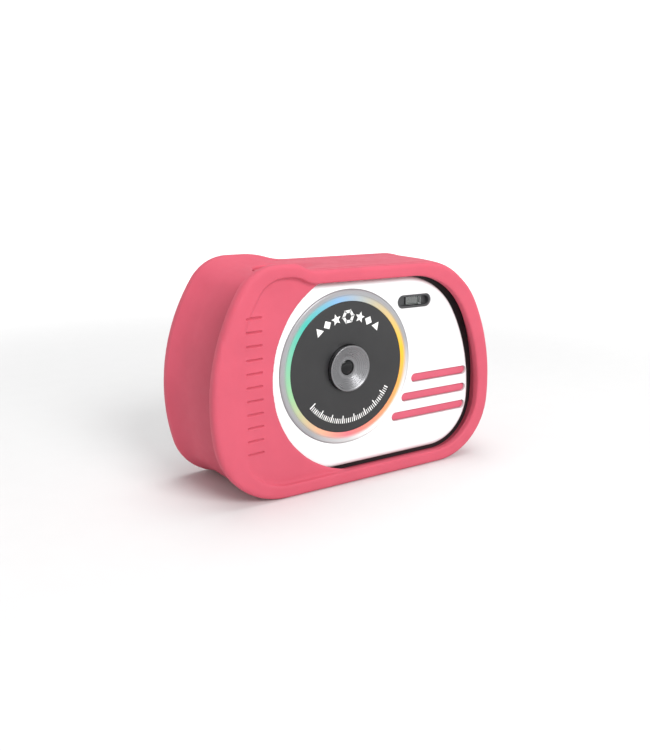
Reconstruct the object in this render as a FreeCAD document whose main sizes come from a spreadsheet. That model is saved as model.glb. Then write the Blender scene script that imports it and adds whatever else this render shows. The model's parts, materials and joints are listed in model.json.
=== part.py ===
import FreeCAD, Part
import math
import os
import re

import Sketcher
from FreeCAD import Placement, Rotation, Vector

# Children's compact digital camera in a soft silicone sleeve.
# Millimetres. +X is the right-hand side seen from the front, -Y is the front, +Z is up.
# The origin is the middle of the base that the camera stands on.

SIZES = {
    # sleeve outline, seen from the front: corner arcs joined by long side arcs
    "depth": 33.4,
    "sleeve_top": 61.6,
    "hump_rise": 2.1,
    "hump_x": -16.5,
    "hump_run": 8.0,
    "rear_hump_x": -8.0,
    "rear_hump_run": 14.0,
    "right_low_radius": 19.1,
    "right_low_x": 28.5,
    "right_top_radius": 24.0,
    "right_top_x": 19.7,
    "right_side_radius": 56.4,
    "left_low_radius": 21.0,
    "left_low_x": 26.1,
    "left_top_radius": 13.7,
    "left_top_x": 27.7,
    "left_side_radius": 57.0,
    # sleeve section
    "flange": 3.0,
    "flange_round": 1.4,
    # the outline behind the front rim at four stations: neck, grip, middle and rear;
    # square is how much less round its upper right corner is than the rim's
    "shoulder_square": 2.5,
    "shoulder_trim": 0.15,
    "neck_y": -11.2,
    "neck_left": 5.0,
    "neck_right": 1.0,
    "neck_hump": 0.3,
    "neck_hump_x": -14.0,
    "neck_square": 4.8,
    "grip_y": -7.4,
    "grip_left": 6.4,
    "grip_right": 1.9,
    "grip_hump": -0.8,
    "grip_square": 6.8,
    "middle_y": 3.8,
    "middle_left": 4.5,
    "middle_right": 2.3,
    "middle_hump": -0.7,
    "middle_square": 9.0,
    "rear_square": 10.0,
    "rear_trim": 1.0,
    "waist_top": 0.1,
    "waist_bottom": 0.6,
    "waist_hump_x": -8.0,
    "waist_hump_run": 12.0,
    "grip_corner": 6.0,
    "rear_corner": 5.0,
    "rear_left": 0.75,
    "case_hump": 0.4,
    "body_top": 2.9,
    "body_bottom": 3.2,
    "body_left": 6.4,
    "body_right": 4.0,
    "sleeve_gap": 0.1,
    # openings of the sleeve
    "window_top": 3.6,
    "window_bottom": 3.9,
    "window_right": 4.8,
    "window_left": 6.0,
    "window_top_extra": 3.0,
    "window_low_extra": 1.0,
    "panel_x": -0.9,
    "panel_z": 32.6,
    "panel_radius": 29.0,
    "panel_thick": 1.0,
    "panel_slope_start": -24.0,
    "panel_slope_end": -44.0,
    "rear_lip": 6.6,
    "rear_lip_left": 8.4,
    # camera case
    "face_y": -14.2,
    "plate": 2.0,
    "plate_round": 1.7,
    "plate_top": 3.8,
    "plate_bottom": 4.7,
    "plate_side": 6.4,
    "plate_left": 7.6,
    "plate_extra": 4.0,
    "wall": 1.8,
    "split_y": 8.0,
    "back_y": 14.2,
    # lens unit
    "lens_x": -5.4,
    "lens_z": 33.7,
    "disc_radius": 18.6,
    "rainbow_radius": 20.3,
    "ring_radius": 21.9,
    "cone_radius": 6.55,
    "cone_proud": 1.8,
    "eye_radius": 2.1,
    "barrel_radius": 4.0,
    "barrel_rear": -4.4,
    "stop_rear": -6.4,
    "stop_front": -7.4,
    "sensor_front": -3.8,
    "sensor_rear": -3.0,
    "sensor_half": 2.6,
    "holder_side": 12.0,
    "fit_gap": 0.1,
    # stripes and flash on the face
    "stripe_half": 1.35,
    "stripe_right": 39.7,
    "stripe_left": 10.8,
    "stripe_step_x": 3.5,
    "stripe_low_z": 16.4,
    "stripe_step_z": 5.5,
    "flash_x": 18.2,
    "flash_z": 50.5,
    "flash_half": 6.2,
    "flash_radius": 1.95,
    # screen
    "screen_x": 11.0,
    "screen_z": 29.3,
    "panel_wide": 46.0,
    "panel_high": 35.0,
    "view_wide": 41.6,
    "view_high": 31.4,
    "glass_wide": 49.0,
    "glass_high": 37.4,
    "glass_thick": 1.1,
    # keys
    "pad_x": -26.5,
    "pad_z": 32.0,
    "pad_inner": 4.9,
    "pad_outer": 10.0,
    "pad_angle": 36.0,
    "ok_radius": 3.2,
    "small_key": 2.5,
    "key_gap": 0.2,
    "key_rim": 0.7,
    "key_proud": 1.2,
    "power_x": -22.0,
    "power_z": 48.0,
    "menu_x": -20.0,
    "play_x": -33.0,
    "lower_key_z": 19.5,
    "board_y": 8.6,
    "board": 1.0,
    "dome": 0.5,
    # shutter button
    "shutter_x": -20.6,
    "shutter_radius": 5.5,
    "shutter_top": 60.4,
    "shutter_rim": 0.7,
    "ledge_low": 46.6,
    "switch_board": 49.5,
    "switch_low": 50.5,
    "switch_high": 53.9,
    # side door and sockets
    "door_z": 22.0,
    "door_half_high": 8.5,
    "door_front_y": -6.0,
    "door_rear_y": 4.6,
    "door_x": 43.9,
    "door": 1.2,
    "hinge_x": 44.6,
    "hinge_y": 5.6,
    "hinge_radius": 0.7,
    "pin_radius": 0.35,
    "bay_half_high": 7.0,
    "bay_front_y": -4.6,
    "bay_rear_y": 3.4,
    "socket_y": -0.6,
    "socket_face": 40.8,
    # tripod bush and strap eyelet
    "bush_y": -1.0,
    "bush_radius": 4.9,
    "bush_high": 9.0,
    "thread_radius": 3.175,
    "thread_deep": 8.0,
    "eyelet_x": 39.6,
    "eyelet_z": 42.0,
    "eyelet_radius": 3.2,
    "eyelet_wire": 0.8,
    # power and sound
    "battery_wide": 30.0,
    "battery_high": 27.0,
    "battery": 5.6,
    "battery_x": 20.0,
    "battery_z": 30.0,
    "battery_y": -10.0,
    "speaker_x": -22.5,
    "speaker_z": 10.3,
    "speaker_radius": 5.0,
    "microphone_x": -17.5,
    "microphone_z": 42.0,
    # fasteners
    "boss_radius": 3.0,
    "screw_radius": 1.0,
    "head_radius": 1.9,
    "post_radius": 2.0,
}

# (x, z) of the case screws and of the board screws
CASE_SCREWS = [(-33.5, 47.0), (-33.5, 13.0), (27.0, 50.6), (31.0, 8.2)]
BOARD_SCREWS = [(-16.0, 50.0), (15.0, 51.0), (36.3, 30.0), (-15.2, 13.5)]

doc = FreeCAD.newDocument("KidsCamera")
sheet = doc.addObject("Spreadsheet::Sheet", "Sizes")
for row, (alias, size) in enumerate(SIZES.items(), start=1):
    sheet.set("A%d" % row, alias)
    sheet.set("B%d" % row, str(size))
    sheet.setAlias("B%d" % row, alias)
doc.recompute()

nodes = {}


# ---------------------------------------------------------------- binding to the sheet

def bound(text):
    """The expression with every alias pointing at the sheet."""
    return re.sub(r"[a-z_]+", lambda word: "Sizes." + word[0] if word[0] in SIZES else word[0], text)


def value(text):
    return float(sheet.evalExpression(bound(text)))


def bind(thing, prop, text):
    thing.setExpression(prop, bound(text))


def place(thing, x="0", y="0", z="0", axis=(0, 0, 1), angle=0.0):
    thing.Placement = Placement(Vector(value(x), value(y), value(z)), Rotation(Vector(*axis), angle))
    bind(thing, "Placement.Base.x", x)
    bind(thing, "Placement.Base.y", y)
    bind(thing, "Placement.Base.z", z)


# ---------------------------------------------------------------- sketches

def datum(sketch, kind, where, text):
    """One dimension of a sketch, bound to an expression."""
    index = sketch.addConstraint(Sketcher.Constraint(kind, *where, value(text)))
    bind(sketch, "Constraints[%d]" % index, text)


def fix_point(sketch, edge, point, x, z):
    datum(sketch, "DistanceX", (-1, 1, edge, point), x)
    datum(sketch, "DistanceY", (-1, 1, edge, point), z)


def add_line(sketch, start, end):
    return sketch.addGeometry(Part.LineSegment(Vector(*start, 0), Vector(*end, 0)), False)


def add_arc(sketch, centre, radius, first, last):
    circle = Part.Circle(Vector(*centre, 0), Vector(0, 0, 1), radius)
    return sketch.addGeometry(Part.ArcOfCircle(circle, first, last), False)


def draw_circle(sketch, x, z, radius):
    circle = Part.Circle(Vector(value(x), value(z), 0), Vector(0, 0, 1), value(radius))
    edge = sketch.addGeometry(circle, False)
    fix_point(sketch, edge, 3, x, z)
    datum(sketch, "Radius", (edge,), radius)


def draw_polygon(sketch, points):
    """A closed outline; every corner is a pair of expressions."""
    corners = [(value(x), value(z)) for x, z in points]
    count = len(corners)
    edges = [add_line(sketch, corners[i], corners[(i + 1) % count]) for i in range(count)]
    for i in range(count):
        sketch.addConstraint(Sketcher.Constraint("Coincident", edges[i - 1], 2, edges[i], 1))
        fix_point(sketch, edges[i], 1, *points[i])


def draw_box(sketch, left, right, low, high):
    draw_polygon(sketch, [(left, low), (right, low), (right, high), (left, high)])


def draw_slot(sketch, left, right, z, radius):
    """A level slot with round ends; left and right are its end tips."""
    x0 = value(left) + value(radius)
    x1 = value(right) - value(radius)
    mid = value(z)
    r = value(radius)
    low = add_line(sketch, (x0, mid - r), (x1, mid - r))
    right_end = add_arc(sketch, (x1, mid), r, -math.pi / 2, math.pi / 2)
    high = add_line(sketch, (x1, mid + r), (x0, mid + r))
    left_end = add_arc(sketch, (x0, mid), r, math.pi / 2, 3 * math.pi / 2)
    ring = [low, right_end, high, left_end]
    for i in range(4):
        sketch.addConstraint(Sketcher.Constraint("Tangent", ring[i - 1], 2, ring[i], 1))
    fix_point(sketch, left_end, 3, "(%s)+(%s)" % (left, radius), z)
    datum(sketch, "DistanceX", (-1, 1, right_end, 3), "(%s)-(%s)" % (right, radius))
    datum(sketch, "Radius", (left_end,), radius)


def draw_rounded_box(sketch, left, right, low, high, radius):
    x0, x1, z0, z1, r = (value(text) for text in (left, right, low, high, radius))
    quarter = math.pi / 2
    edges = [
        add_line(sketch, (x0 + r, z0), (x1 - r, z0)),
        add_arc(sketch, (x1 - r, z0 + r), r, -quarter, 0),
        add_line(sketch, (x1, z0 + r), (x1, z1 - r)),
        add_arc(sketch, (x1 - r, z1 - r), r, 0, quarter),
        add_line(sketch, (x1 - r, z1), (x0 + r, z1)),
        add_arc(sketch, (x0 + r, z1 - r), r, quarter, 2 * quarter),
        add_line(sketch, (x0, z1 - r), (x0, z0 + r)),
        add_arc(sketch, (x0 + r, z0 + r), r, 2 * quarter, 3 * quarter),
    ]
    for i in range(8):
        sketch.addConstraint(Sketcher.Constraint("Tangent", edges[i - 1], 2, edges[i], 1))
    inner_left = "(%s)+(%s)" % (left, radius)
    inner_right = "(%s)-(%s)" % (right, radius)
    inner_low = "(%s)+(%s)" % (low, radius)
    inner_high = "(%s)-(%s)" % (high, radius)
    fix_point(sketch, edges[1], 3, inner_right, inner_low)
    fix_point(sketch, edges[3], 3, inner_right, inner_high)
    fix_point(sketch, edges[5], 3, inner_left, inner_high)
    fix_point(sketch, edges[7], 3, inner_left, inner_low)
    datum(sketch, "Radius", (edges[1],), radius)


def draw_sector(sketch, inner, outer, half_angle):
    """A ring segment about the sketch's origin, pointing along its vertical axis."""
    first = math.pi / 2 - math.radians(value(half_angle))
    last = math.pi / 2 + math.radians(value(half_angle))
    near = add_arc(sketch, (0, 0), value(inner), first, last)
    far = add_arc(sketch, (0, 0), value(outer), first, last)
    for arc, radius in ((near, inner), (far, outer)):
        sketch.addConstraint(Sketcher.Constraint("Coincident", arc, 3, -1, 1))
        datum(sketch, "Radius", (arc,), radius)
    for point, angle, text in ((1, first, "90-(%s)"), (2, last, "90+(%s)")):
        start = (value(inner) * math.cos(angle), value(inner) * math.sin(angle))
        end = (value(outer) * math.cos(angle), value(outer) * math.sin(angle))
        side = add_line(sketch, start, end)
        sketch.addConstraint(Sketcher.Constraint("Coincident", side, 1, near, point))
        sketch.addConstraint(Sketcher.Constraint("Coincident", side, 2, far, point))
        sketch.addConstraint(Sketcher.Constraint("PointOnObject", -1, 1, side))
        index = sketch.addConstraint(Sketcher.Constraint("Angle", -1, side, angle))
        bind(sketch, "Constraints[%d]" % index, "(" + text % half_angle + ")*1deg")


# ---------------------------------------------------------------- the loaf-shaped outline

class Corner:
    """One round corner: expressions for its radius and centre, and their values."""

    def __init__(self, radius, x, z):
        self.radius = radius
        self.x = x
        self.z = z
        self.centre = (value(x), value(z))
        self.size = value(radius)


def right_corner(base_radius, base_x, side, edge, extra, z_text):
    radius = "%s-((%s)+(%s))/2+(%s)" % (base_radius, side, edge, extra)
    x = "%s+%s-(%s)-(%s)" % (base_x, base_radius, side, radius)
    return Corner(radius, x, z_text % radius)


def left_corner(base_radius, base_x, side, edge, z_text, extra="0"):
    radius = "%s-((%s)+(%s))/2+(%s)" % (base_radius, side, edge, extra)
    x = "-(%s+%s-(%s)-(%s))" % (base_x, base_radius, side, radius)
    return Corner(radius, x, z_text % radius)


def right_corners(top, bottom, right, top_extra, low_extra):
    low = right_corner("right_low_radius", "right_low_x", right, bottom, low_extra, "(" + bottom + ")+(%s)")
    high = right_corner("right_top_radius", "right_top_x", right, top, top_extra,
                        "sleeve_top-(" + top + ")-(%s)")
    return low, high


def side_arc(low, high, radius, inward):
    """Centre and end angles of the long arc that touches both corners from outside."""
    to_low = radius - low.size
    to_high = radius - high.size
    step = Vector(high.centre[0] - low.centre[0], high.centre[1] - low.centre[1], 0)
    span = step.Length
    along = (to_low ** 2 - to_high ** 2 + span ** 2) / (2 * span)
    off = math.sqrt(to_low ** 2 - along ** 2)
    unit = step * (1 / span)
    normal = Vector(unit.y, -unit.x, 0)
    if normal.x * inward < 0:
        normal = normal * -1
    centre = Vector(*low.centre, 0) + unit * along + normal * off
    low_angle = math.atan2(low.centre[1] - centre.y, low.centre[0] - centre.x)
    high_angle = math.atan2(high.centre[1] - centre.y, high.centre[0] - centre.x)
    return (centre.x, centre.y), low_angle, high_angle


def draw_right_side(sketch, low, high, side_radius):
    """Lower corner, side and upper corner on the right; returns their edges in order."""
    radius = value(side_radius)
    centre, low_angle, high_angle = side_arc(low, high, radius, -1)
    edges = [
        add_arc(sketch, low.centre, low.size, -math.pi / 2, low_angle),
        add_arc(sketch, centre, radius, low_angle, high_angle),
        add_arc(sketch, high.centre, high.size, high_angle, math.pi / 2),
    ]
    return edges


def fix_corner(sketch, edge, corner):
    fix_point(sketch, edge, 3, corner.x, corner.z)
    datum(sketch, "Radius", (edge,), corner.radius)


def draw_loaf(sketch, top, bottom, left, right, rise, top_extra="0", low_extra="0",
              hump_end="hump_x", hump_length="hump_run", left_extra="0"):
    """The camera's outline, moved inwards by the four insets.

    rise is how far the left end of the top stands above the rest, or below it where negative.
    """
    low_r, high_r = right_corners(top, bottom, right, top_extra, low_extra)
    low_l = left_corner("left_low_radius", "left_low_x", left, bottom, "(" + bottom + ")+(%s)",
                        left_extra)
    hump_inset = "hump_rise-(%s)+(%s)" % (rise, top)
    high_l = left_corner("left_top_radius", "left_top_x", left, hump_inset,
                         "sleeve_top-(" + top + ")+(" + rise + ")-(%s)")
    level = value("sleeve_top-(%s)" % top)
    up = value(rise)
    start = value(hump_end)
    run = value(hump_length)
    bend_text = "((%s)^2+(%s)^2)/(4*abs(%s))" % (hump_length, rise, rise)
    bend = value(bend_text)
    slope = math.asin(run / 2 / bend)
    left_radius = value("left_side_radius-(%s)" % left)
    centre, low_angle, high_angle = side_arc(low_l, high_l, left_radius, 1)

    bottom_line = add_line(sketch, (low_l.centre[0], value(bottom)), (low_r.centre[0], value(bottom)))
    rights = draw_right_side(sketch, low_r, high_r, "right_side_radius-(%s)" % right)
    top_line = add_line(sketch, (high_r.centre[0], level), (start, level))
    # an arc about a point above turns from -90 degrees, an arc about a point below from 90 degrees
    above = ((start, level + bend), -math.pi / 2 - slope, -math.pi / 2)
    below = ((start, level - bend), math.pi / 2, math.pi / 2 + slope)
    over = ((start - run, level + up + bend), -math.pi / 2, -math.pi / 2 + slope)
    under = ((start - run, level + up - bend), math.pi / 2 - slope, math.pi / 2)
    first, second = (above, under) if up > 0 else (below, over)
    near = add_arc(sketch, first[0], bend, *first[1:])
    far = add_arc(sketch, second[0], bend, *second[1:])
    hump_line = add_line(sketch, (start - run, level + up), (high_l.centre[0], level + up))
    lefts = [
        add_arc(sketch, high_l.centre, high_l.size, math.pi / 2, high_angle % (2 * math.pi)),
        add_arc(sketch, centre, left_radius, high_angle % (2 * math.pi), low_angle % (2 * math.pi)),
        add_arc(sketch, low_l.centre, low_l.size, low_angle % (2 * math.pi), 3 * math.pi / 2),
    ]
    # every edge with its first and last point in the order of travel; arcs about a point above run backwards
    bends = [(near, 2, 1), (far, 1, 2)] if up > 0 else [(near, 1, 2), (far, 2, 1)]
    ring = [(bottom_line, 1, 2)] + [(edge, 1, 2) for edge in rights] + [(top_line, 1, 2)] + bends
    ring += [(hump_line, 1, 2)] + [(edge, 1, 2) for edge in lefts]
    for before, after in zip(ring, ring[1:] + ring[:1]):
        sketch.addConstraint(Sketcher.Constraint("Tangent", before[0], before[2], after[0], after[1]))
    fix_corner(sketch, rights[0], low_r)
    fix_corner(sketch, rights[2], high_r)
    fix_corner(sketch, lefts[0], high_l)
    fix_corner(sketch, lefts[2], low_l)
    datum(sketch, "Radius", (rights[1],), "right_side_radius-(%s)" % right)
    datum(sketch, "Radius", (lefts[1],), "left_side_radius-(%s)" % left)
    datum(sketch, "Radius", (near,), bend_text)
    datum(sketch, "Radius", (far,), bend_text)
    datum(sketch, "DistanceX", (-1, 1, near, 3), hump_end)
    sketch.addConstraint(Sketcher.Constraint("Horizontal", top_line))
    sketch.addConstraint(Sketcher.Constraint("Horizontal", hump_line))


def draw_window(sketch):
    """The sleeve's front opening: the outline on the right, an arc about the lens on the left."""
    low, high = right_corners("window_top", "window_bottom", "window_right", "window_top_extra",
                              "window_low_extra")
    centre = (value("panel_x"), value("panel_z"))
    radius = value("panel_radius")
    top = value("sleeve_top-window_top")
    bottom = value("window_bottom")
    top_x = centre[0] - math.sqrt(radius ** 2 - (top - centre[1]) ** 2)
    bottom_x = centre[0] - math.sqrt(radius ** 2 - (bottom - centre[1]) ** 2)
    bottom_line = add_line(sketch, (bottom_x, bottom), (low.centre[0], bottom))
    rights = draw_right_side(sketch, low, high, "right_side_radius-window_right")
    top_line = add_line(sketch, (high.centre[0], top), (top_x, top))
    first = math.atan2(top - centre[1], top_x - centre[0])
    last = math.atan2(bottom - centre[1], bottom_x - centre[0]) % (2 * math.pi)
    panel_arc = add_arc(sketch, centre, radius, first, last)
    ring = [bottom_line] + rights + [top_line]
    for before, after in zip(ring, ring[1:]):
        sketch.addConstraint(Sketcher.Constraint("Tangent", before, 2, after, 1))
    sketch.addConstraint(Sketcher.Constraint("Coincident", top_line, 2, panel_arc, 1))
    sketch.addConstraint(Sketcher.Constraint("Coincident", panel_arc, 2, bottom_line, 1))
    fix_corner(sketch, rights[0], low)
    fix_corner(sketch, rights[2], high)
    fix_point(sketch, panel_arc, 3, "panel_x", "panel_z")
    datum(sketch, "Radius", (rights[1],), "right_side_radius-window_right")
    datum(sketch, "Radius", (panel_arc,), "panel_radius")
    sketch.addConstraint(Sketcher.Constraint("Horizontal", top_line))
    sketch.addConstraint(Sketcher.Constraint("Horizontal", bottom_line))


def draw_case(sketch, inset="0"):
    """The outline of the hard case inside the sleeve, moved inwards by inset."""
    draw_loaf(sketch, "body_top+" + inset, "body_bottom+" + inset, "body_left+" + inset,
              "body_right+" + inset, "case_hump")


# ---------------------------------------------------------------- features

def new_body(name, x="0", y="0", z="0", angle=0.0):
    body = doc.addObject("PartDesign::Body", name)
    body.Label = name
    place(body, x, y, z, (0, 1, 0), angle)
    return body


def sketch_on(body, plane, level):
    """A sketch on one of the body's origin planes, moved to a level on the axis it faces."""
    sketch = body.newObject("Sketcher::SketchObject", body.Name + "_sketch")
    origin_plane = next(part for part in body.Origin.OriginFeatures if part.Role == plane)
    sketch.AttachmentSupport = [(origin_plane, "")]
    sketch.MapMode = "FlatFace"
    # the front plane faces -Y, the other two face +X and +Z
    bind(sketch, "AttachmentOffset.Base.z", "-(%s)" % level if plane == "XZ_Plane" else level)
    return sketch


def sweep_feature(body, kind, plane, level, low, high, draw, args):
    sketch = sketch_on(body, plane, level)
    draw(sketch, *args)
    feature = body.newObject("PartDesign::" + kind, body.Name + "_" + kind.lower())
    feature.Profile = sketch
    bind(feature, "Length", "(%s)-(%s)" % (high, low))
    return feature


def add(body, plane, low, high, draw, *args):
    """Material between two levels of the axis that the plane faces."""
    level = high if plane == "XZ_Plane" else low
    return sweep_feature(body, "Pad", plane, level, low, high, draw, args)


def remove(body, plane, low, high, draw, *args):
    """A cut between two levels; a cut that takes nothing away is an error."""
    doc.recompute()
    before = body.Shape.Volume
    level = low if plane == "XZ_Plane" else high
    feature = sweep_feature(body, "Pocket", plane, level, low, high, draw, args)
    doc.recompute()
    if body.Shape.Volume > before - 1e-3:
        raise RuntimeError("%s cuts nothing" % feature.Name)
    return feature


def turned(name, profile, y="0", x="lens_x", z="lens_z"):
    """A body turned about a front-to-back axis; the profile is (radius, y) pairs."""
    body = new_body(name, x, y, z)
    sketch = sketch_on(body, "XY_Plane", "0")
    draw_polygon(sketch, profile)
    feature = body.newObject("PartDesign::Revolution", name + "_turned")
    feature.Profile = sketch
    feature.ReferenceAxis = (sketch, ["V_Axis"])
    feature.Angle = 360.0
    return body


def round_edges(body, radius, chosen):
    """A fillet on the edges that the test picks."""
    doc.recompute()
    names = ["Edge%d" % (i + 1) for i, edge in enumerate(body.Shape.Edges) if chosen(edge)]
    solid = body.Tip
    fillet = body.newObject("PartDesign::Fillet", body.Name + "_fillet")
    fillet.Base = (solid, names)
    bind(fillet, "Radius", radius)
    doc.recompute()
    return fillet


def at_level(edge, axis, level):
    """True where the whole edge lies at one level of an axis (0, 1 or 2)."""
    box = edge.BoundBox
    low = (box.XMin, box.YMin, box.ZMin)[axis]
    high = (box.XMax, box.YMax, box.ZMax)[axis]
    return abs(low - level) < 0.01 and abs(high - level) < 0.01


def solid_box(name, left, right, front, rear, low, high):
    box = doc.addObject("Part::Box", name)
    box.Label = name
    bind(box, "Length", "(%s)-(%s)" % (right, left))
    bind(box, "Width", "(%s)-(%s)" % (rear, front))
    bind(box, "Height", "(%s)-(%s)" % (high, low))
    place(box, left, front, low)
    return box


def solid_rod(name, radius, length, x, y, z, axis="y"):
    """A cylinder from (x, y, z) along +Y or +Z."""
    rod = doc.addObject("Part::Cylinder", name)
    rod.Label = name
    bind(rod, "Radius", radius)
    bind(rod, "Height", length)
    if axis == "y":
        place(rod, x, y, z, (1, 0, 0), -90.0)
    else:
        place(rod, x, y, z)
    return rod


def cut_from(name, base, tool):
    result = doc.addObject("Part::Cut", name)
    result.Label = name
    result.Base = base
    result.Tool = tool
    return result


def joined(name, pieces):
    result = doc.addObject("Part::MultiFuse", name)
    result.Label = name
    result.Shapes = pieces
    return result


def grouped(name, pieces):
    result = doc.addObject("Part::Compound", name)
    result.Label = name
    result.Links = pieces
    return result


# ---------------------------------------------------------------- silicone sleeve

def make_sleeve():
    body = new_body("sleeve_shell")
    front = "-depth/2"
    rear = "depth/2"
    front_end = "-depth/2+flange"
    rear_end = "depth/2-flange"
    front_rim = ("0", "0", "0", "0", "hump_rise")
    shoulder = ("0", "0", "0", "shoulder_trim", "hump_rise", "-shoulder_square")
    neck = ("waist_top", "waist_bottom*0.7", "neck_left", "neck_right", "neck_hump", "-neck_square", "0",
            "neck_hump_x", "hump_run", "-grip_corner*0.7")
    grip = ("waist_top", "waist_bottom", "grip_left", "grip_right", "grip_hump", "-grip_square", "0",
            "waist_hump_x", "waist_hump_run", "-grip_corner")
    middle = ("waist_top", "waist_bottom", "middle_left", "middle_right", "middle_hump",
              "-middle_square", "0", "waist_hump_x", "waist_hump_run", "-grip_corner*0.8")
    rear_rim = ("0", "0", "rear_left", "rear_trim", "hump_rise", "-rear_square", "0", "rear_hump_x",
                "rear_hump_run", "-rear_corner")
    add(body, "XZ_Plane", front, front_end, draw_loaf, *front_rim)
    sections = []
    stations = ((front_end, shoulder), ("neck_y", neck), ("grip_y", grip), ("middle_y", middle),
                (rear_end, rear_rim))
    for level, insets in stations:
        sketch = sketch_on(body, "XZ_Plane", level)
        draw_loaf(sketch, *insets)
        sections.append(sketch)
    loft = body.newObject("PartDesign::AdditiveLoft", "sleeve_waist")
    loft.Profile = sections[0]
    loft.Sections = sections[1:]
    add(body, "XZ_Plane", rear_end, rear, draw_loaf, *rear_rim)
    half = value(rear)
    round_edges(body, "flange_round", lambda edge: at_level(edge, 1, -half) or at_level(edge, 1, half))
    remove(body, "XZ_Plane", "face_y-sleeve_gap", "back_y+sleeve_gap", draw_case, "-sleeve_gap")
    remove(body, "XZ_Plane", front, "face_y", draw_window)
    remove(body, "XZ_Plane", "back_y", rear, draw_loaf, "rear_lip", "rear_lip", "rear_lip_left",
           "rear_lip", "case_hump")
    remove(body, "XY_Plane", "sleeve_top-6", "sleeve_top", draw_circle, "shutter_x", "0",
           "shutter_radius+0.3")
    remove(body, "XY_Plane", "-0.5", "body_bottom+0.5", draw_circle, "0", "bush_y", "bush_radius+2.6")
    remove(body, "YZ_Plane", "door_x-3", "door_x+5", draw_rounded_box, "door_front_y-0.6",
           "hinge_y+1.3", "door_z-door_half_high-0.6", "door_z+door_half_high+0.6", "1")
    remove(body, "YZ_Plane", "door_x-8", "door_x+5", draw_rounded_box, "-eyelet_radius-1.6",
           "eyelet_radius+1.6", "eyelet_z-1.6", "eyelet_z+1.6", "1.5")

    # the grip panel left of the lens falls away from the rim towards the lens
    loaf = new_body("panel_outline")
    add(loaf, "XZ_Plane", front + "-1", "face_y", draw_loaf, "window_top", "window_bottom",
        "window_left", "window_right", "hump_rise")
    wedge = new_body("panel_wedge")
    sunk = "face_y-panel_thick"
    add(wedge, "XY_Plane", "0", "sleeve_top+hump_rise", draw_polygon,
        [("panel_slope_end", front), ("panel_slope_start", sunk), ("panel_x", sunk),
         ("panel_x", front + "-1"), ("panel_slope_end", front + "-1")])
    hollow = doc.addObject("Part::MultiCommon", "panel_hollow")
    hollow.Shapes = [loaf, wedge]
    nodes["silicone_sleeve"] = cut_from("silicone_sleeve", body, hollow)


# ---------------------------------------------------------------- case

def make_front_shell():
    body = new_body("front_case")
    shell_front = "face_y+plate"
    inside = "face_y+plate+wall"
    add(body, "XZ_Plane", shell_front, "split_y", draw_case)
    remove(body, "XZ_Plane", inside, "split_y", draw_case, "wall")
    for x, z in CASE_SCREWS:
        add(body, "XZ_Plane", inside, "split_y", draw_circle, str(x), str(z), "boss_radius")
        remove(body, "XZ_Plane", "split_y-10", "split_y", draw_circle, str(x), str(z), "screw_radius-0.15")
    # seat for the lens barrel
    remove(body, "XZ_Plane", shell_front, inside, draw_circle, "lens_x", "lens_z", "barrel_radius+1.2")
    # pocket behind the flash slot
    remove(body, "XZ_Plane", shell_front, inside, draw_slot, "flash_x-flash_half+0.5",
           "flash_x+flash_half-0.5", "flash_z", "flash_radius-0.3")
    # shutter hole, tripod boss and its hole
    remove(body, "XY_Plane", "sleeve_top-body_top-wall-1", "sleeve_top", draw_circle, "shutter_x", "0",
           "shutter_radius+key_gap")
    add(body, "XY_Plane", "body_bottom+0.5", "body_bottom+bush_high", draw_circle, "0", "bush_y",
        "bush_radius+1.6")
    remove(body, "XY_Plane", "0", "body_bottom+bush_high", draw_circle, "0", "bush_y",
           "bush_radius+0.05")
    # ledges that carry the shutter's small board
    for low, high in ((inside, "-4.2"), ("4.2", "6.5")):
        add(body, "XZ_Plane", low, high, draw_box, "shutter_x-7.5", "shutter_x+4", "ledge_low",
            "switch_board")
    # side bay for the sockets
    remove(body, "YZ_Plane", "door_x-6", "door_x+5", draw_rounded_box, "bay_front_y", "bay_rear_y",
           "door_z-bay_half_high", "door_z+bay_half_high", "1")
    # strap eyelet: a half ring moulded on the side
    ring = doc.addObject("Part::Torus", "eyelet_ring")
    bind(ring, "Radius1", "eyelet_radius")
    bind(ring, "Radius2", "eyelet_wire")
    place(ring, "eyelet_x", "0", "eyelet_z")
    clear = solid_box("eyelet_inside", "30", "eyelet_x-0.7", "-8", "8", "eyelet_z-2", "eyelet_z+2")
    half_ring = cut_from("eyelet_half", ring, clear)
    # hinge lugs above and below the door
    lugs = []
    for name, low, high in (("low", "-door_half_high-0.3", "-bay_half_high-0.15"),
                            ("high", "bay_half_high+0.15", "door_half_high+0.3")):
        low = "door_z+(%s)" % low
        high = "door_z+(%s)" % high
        lug = solid_box("hinge_lug_" + name, "hinge_x-3", "hinge_x+hinge_radius-0.05",
                        "hinge_y-hinge_radius", "hinge_y+hinge_radius", low, high)
        hole = solid_rod("hinge_hole_" + name, "pin_radius+0.02", "4", "hinge_x", "hinge_y",
                         "(%s)-1" % low, "z")
        lugs.append(cut_from("hinge_ear_" + name, lug, hole))
    shell = joined("front_shell", [body, half_ring] + lugs)
    nodes["front_shell"] = shell


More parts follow.
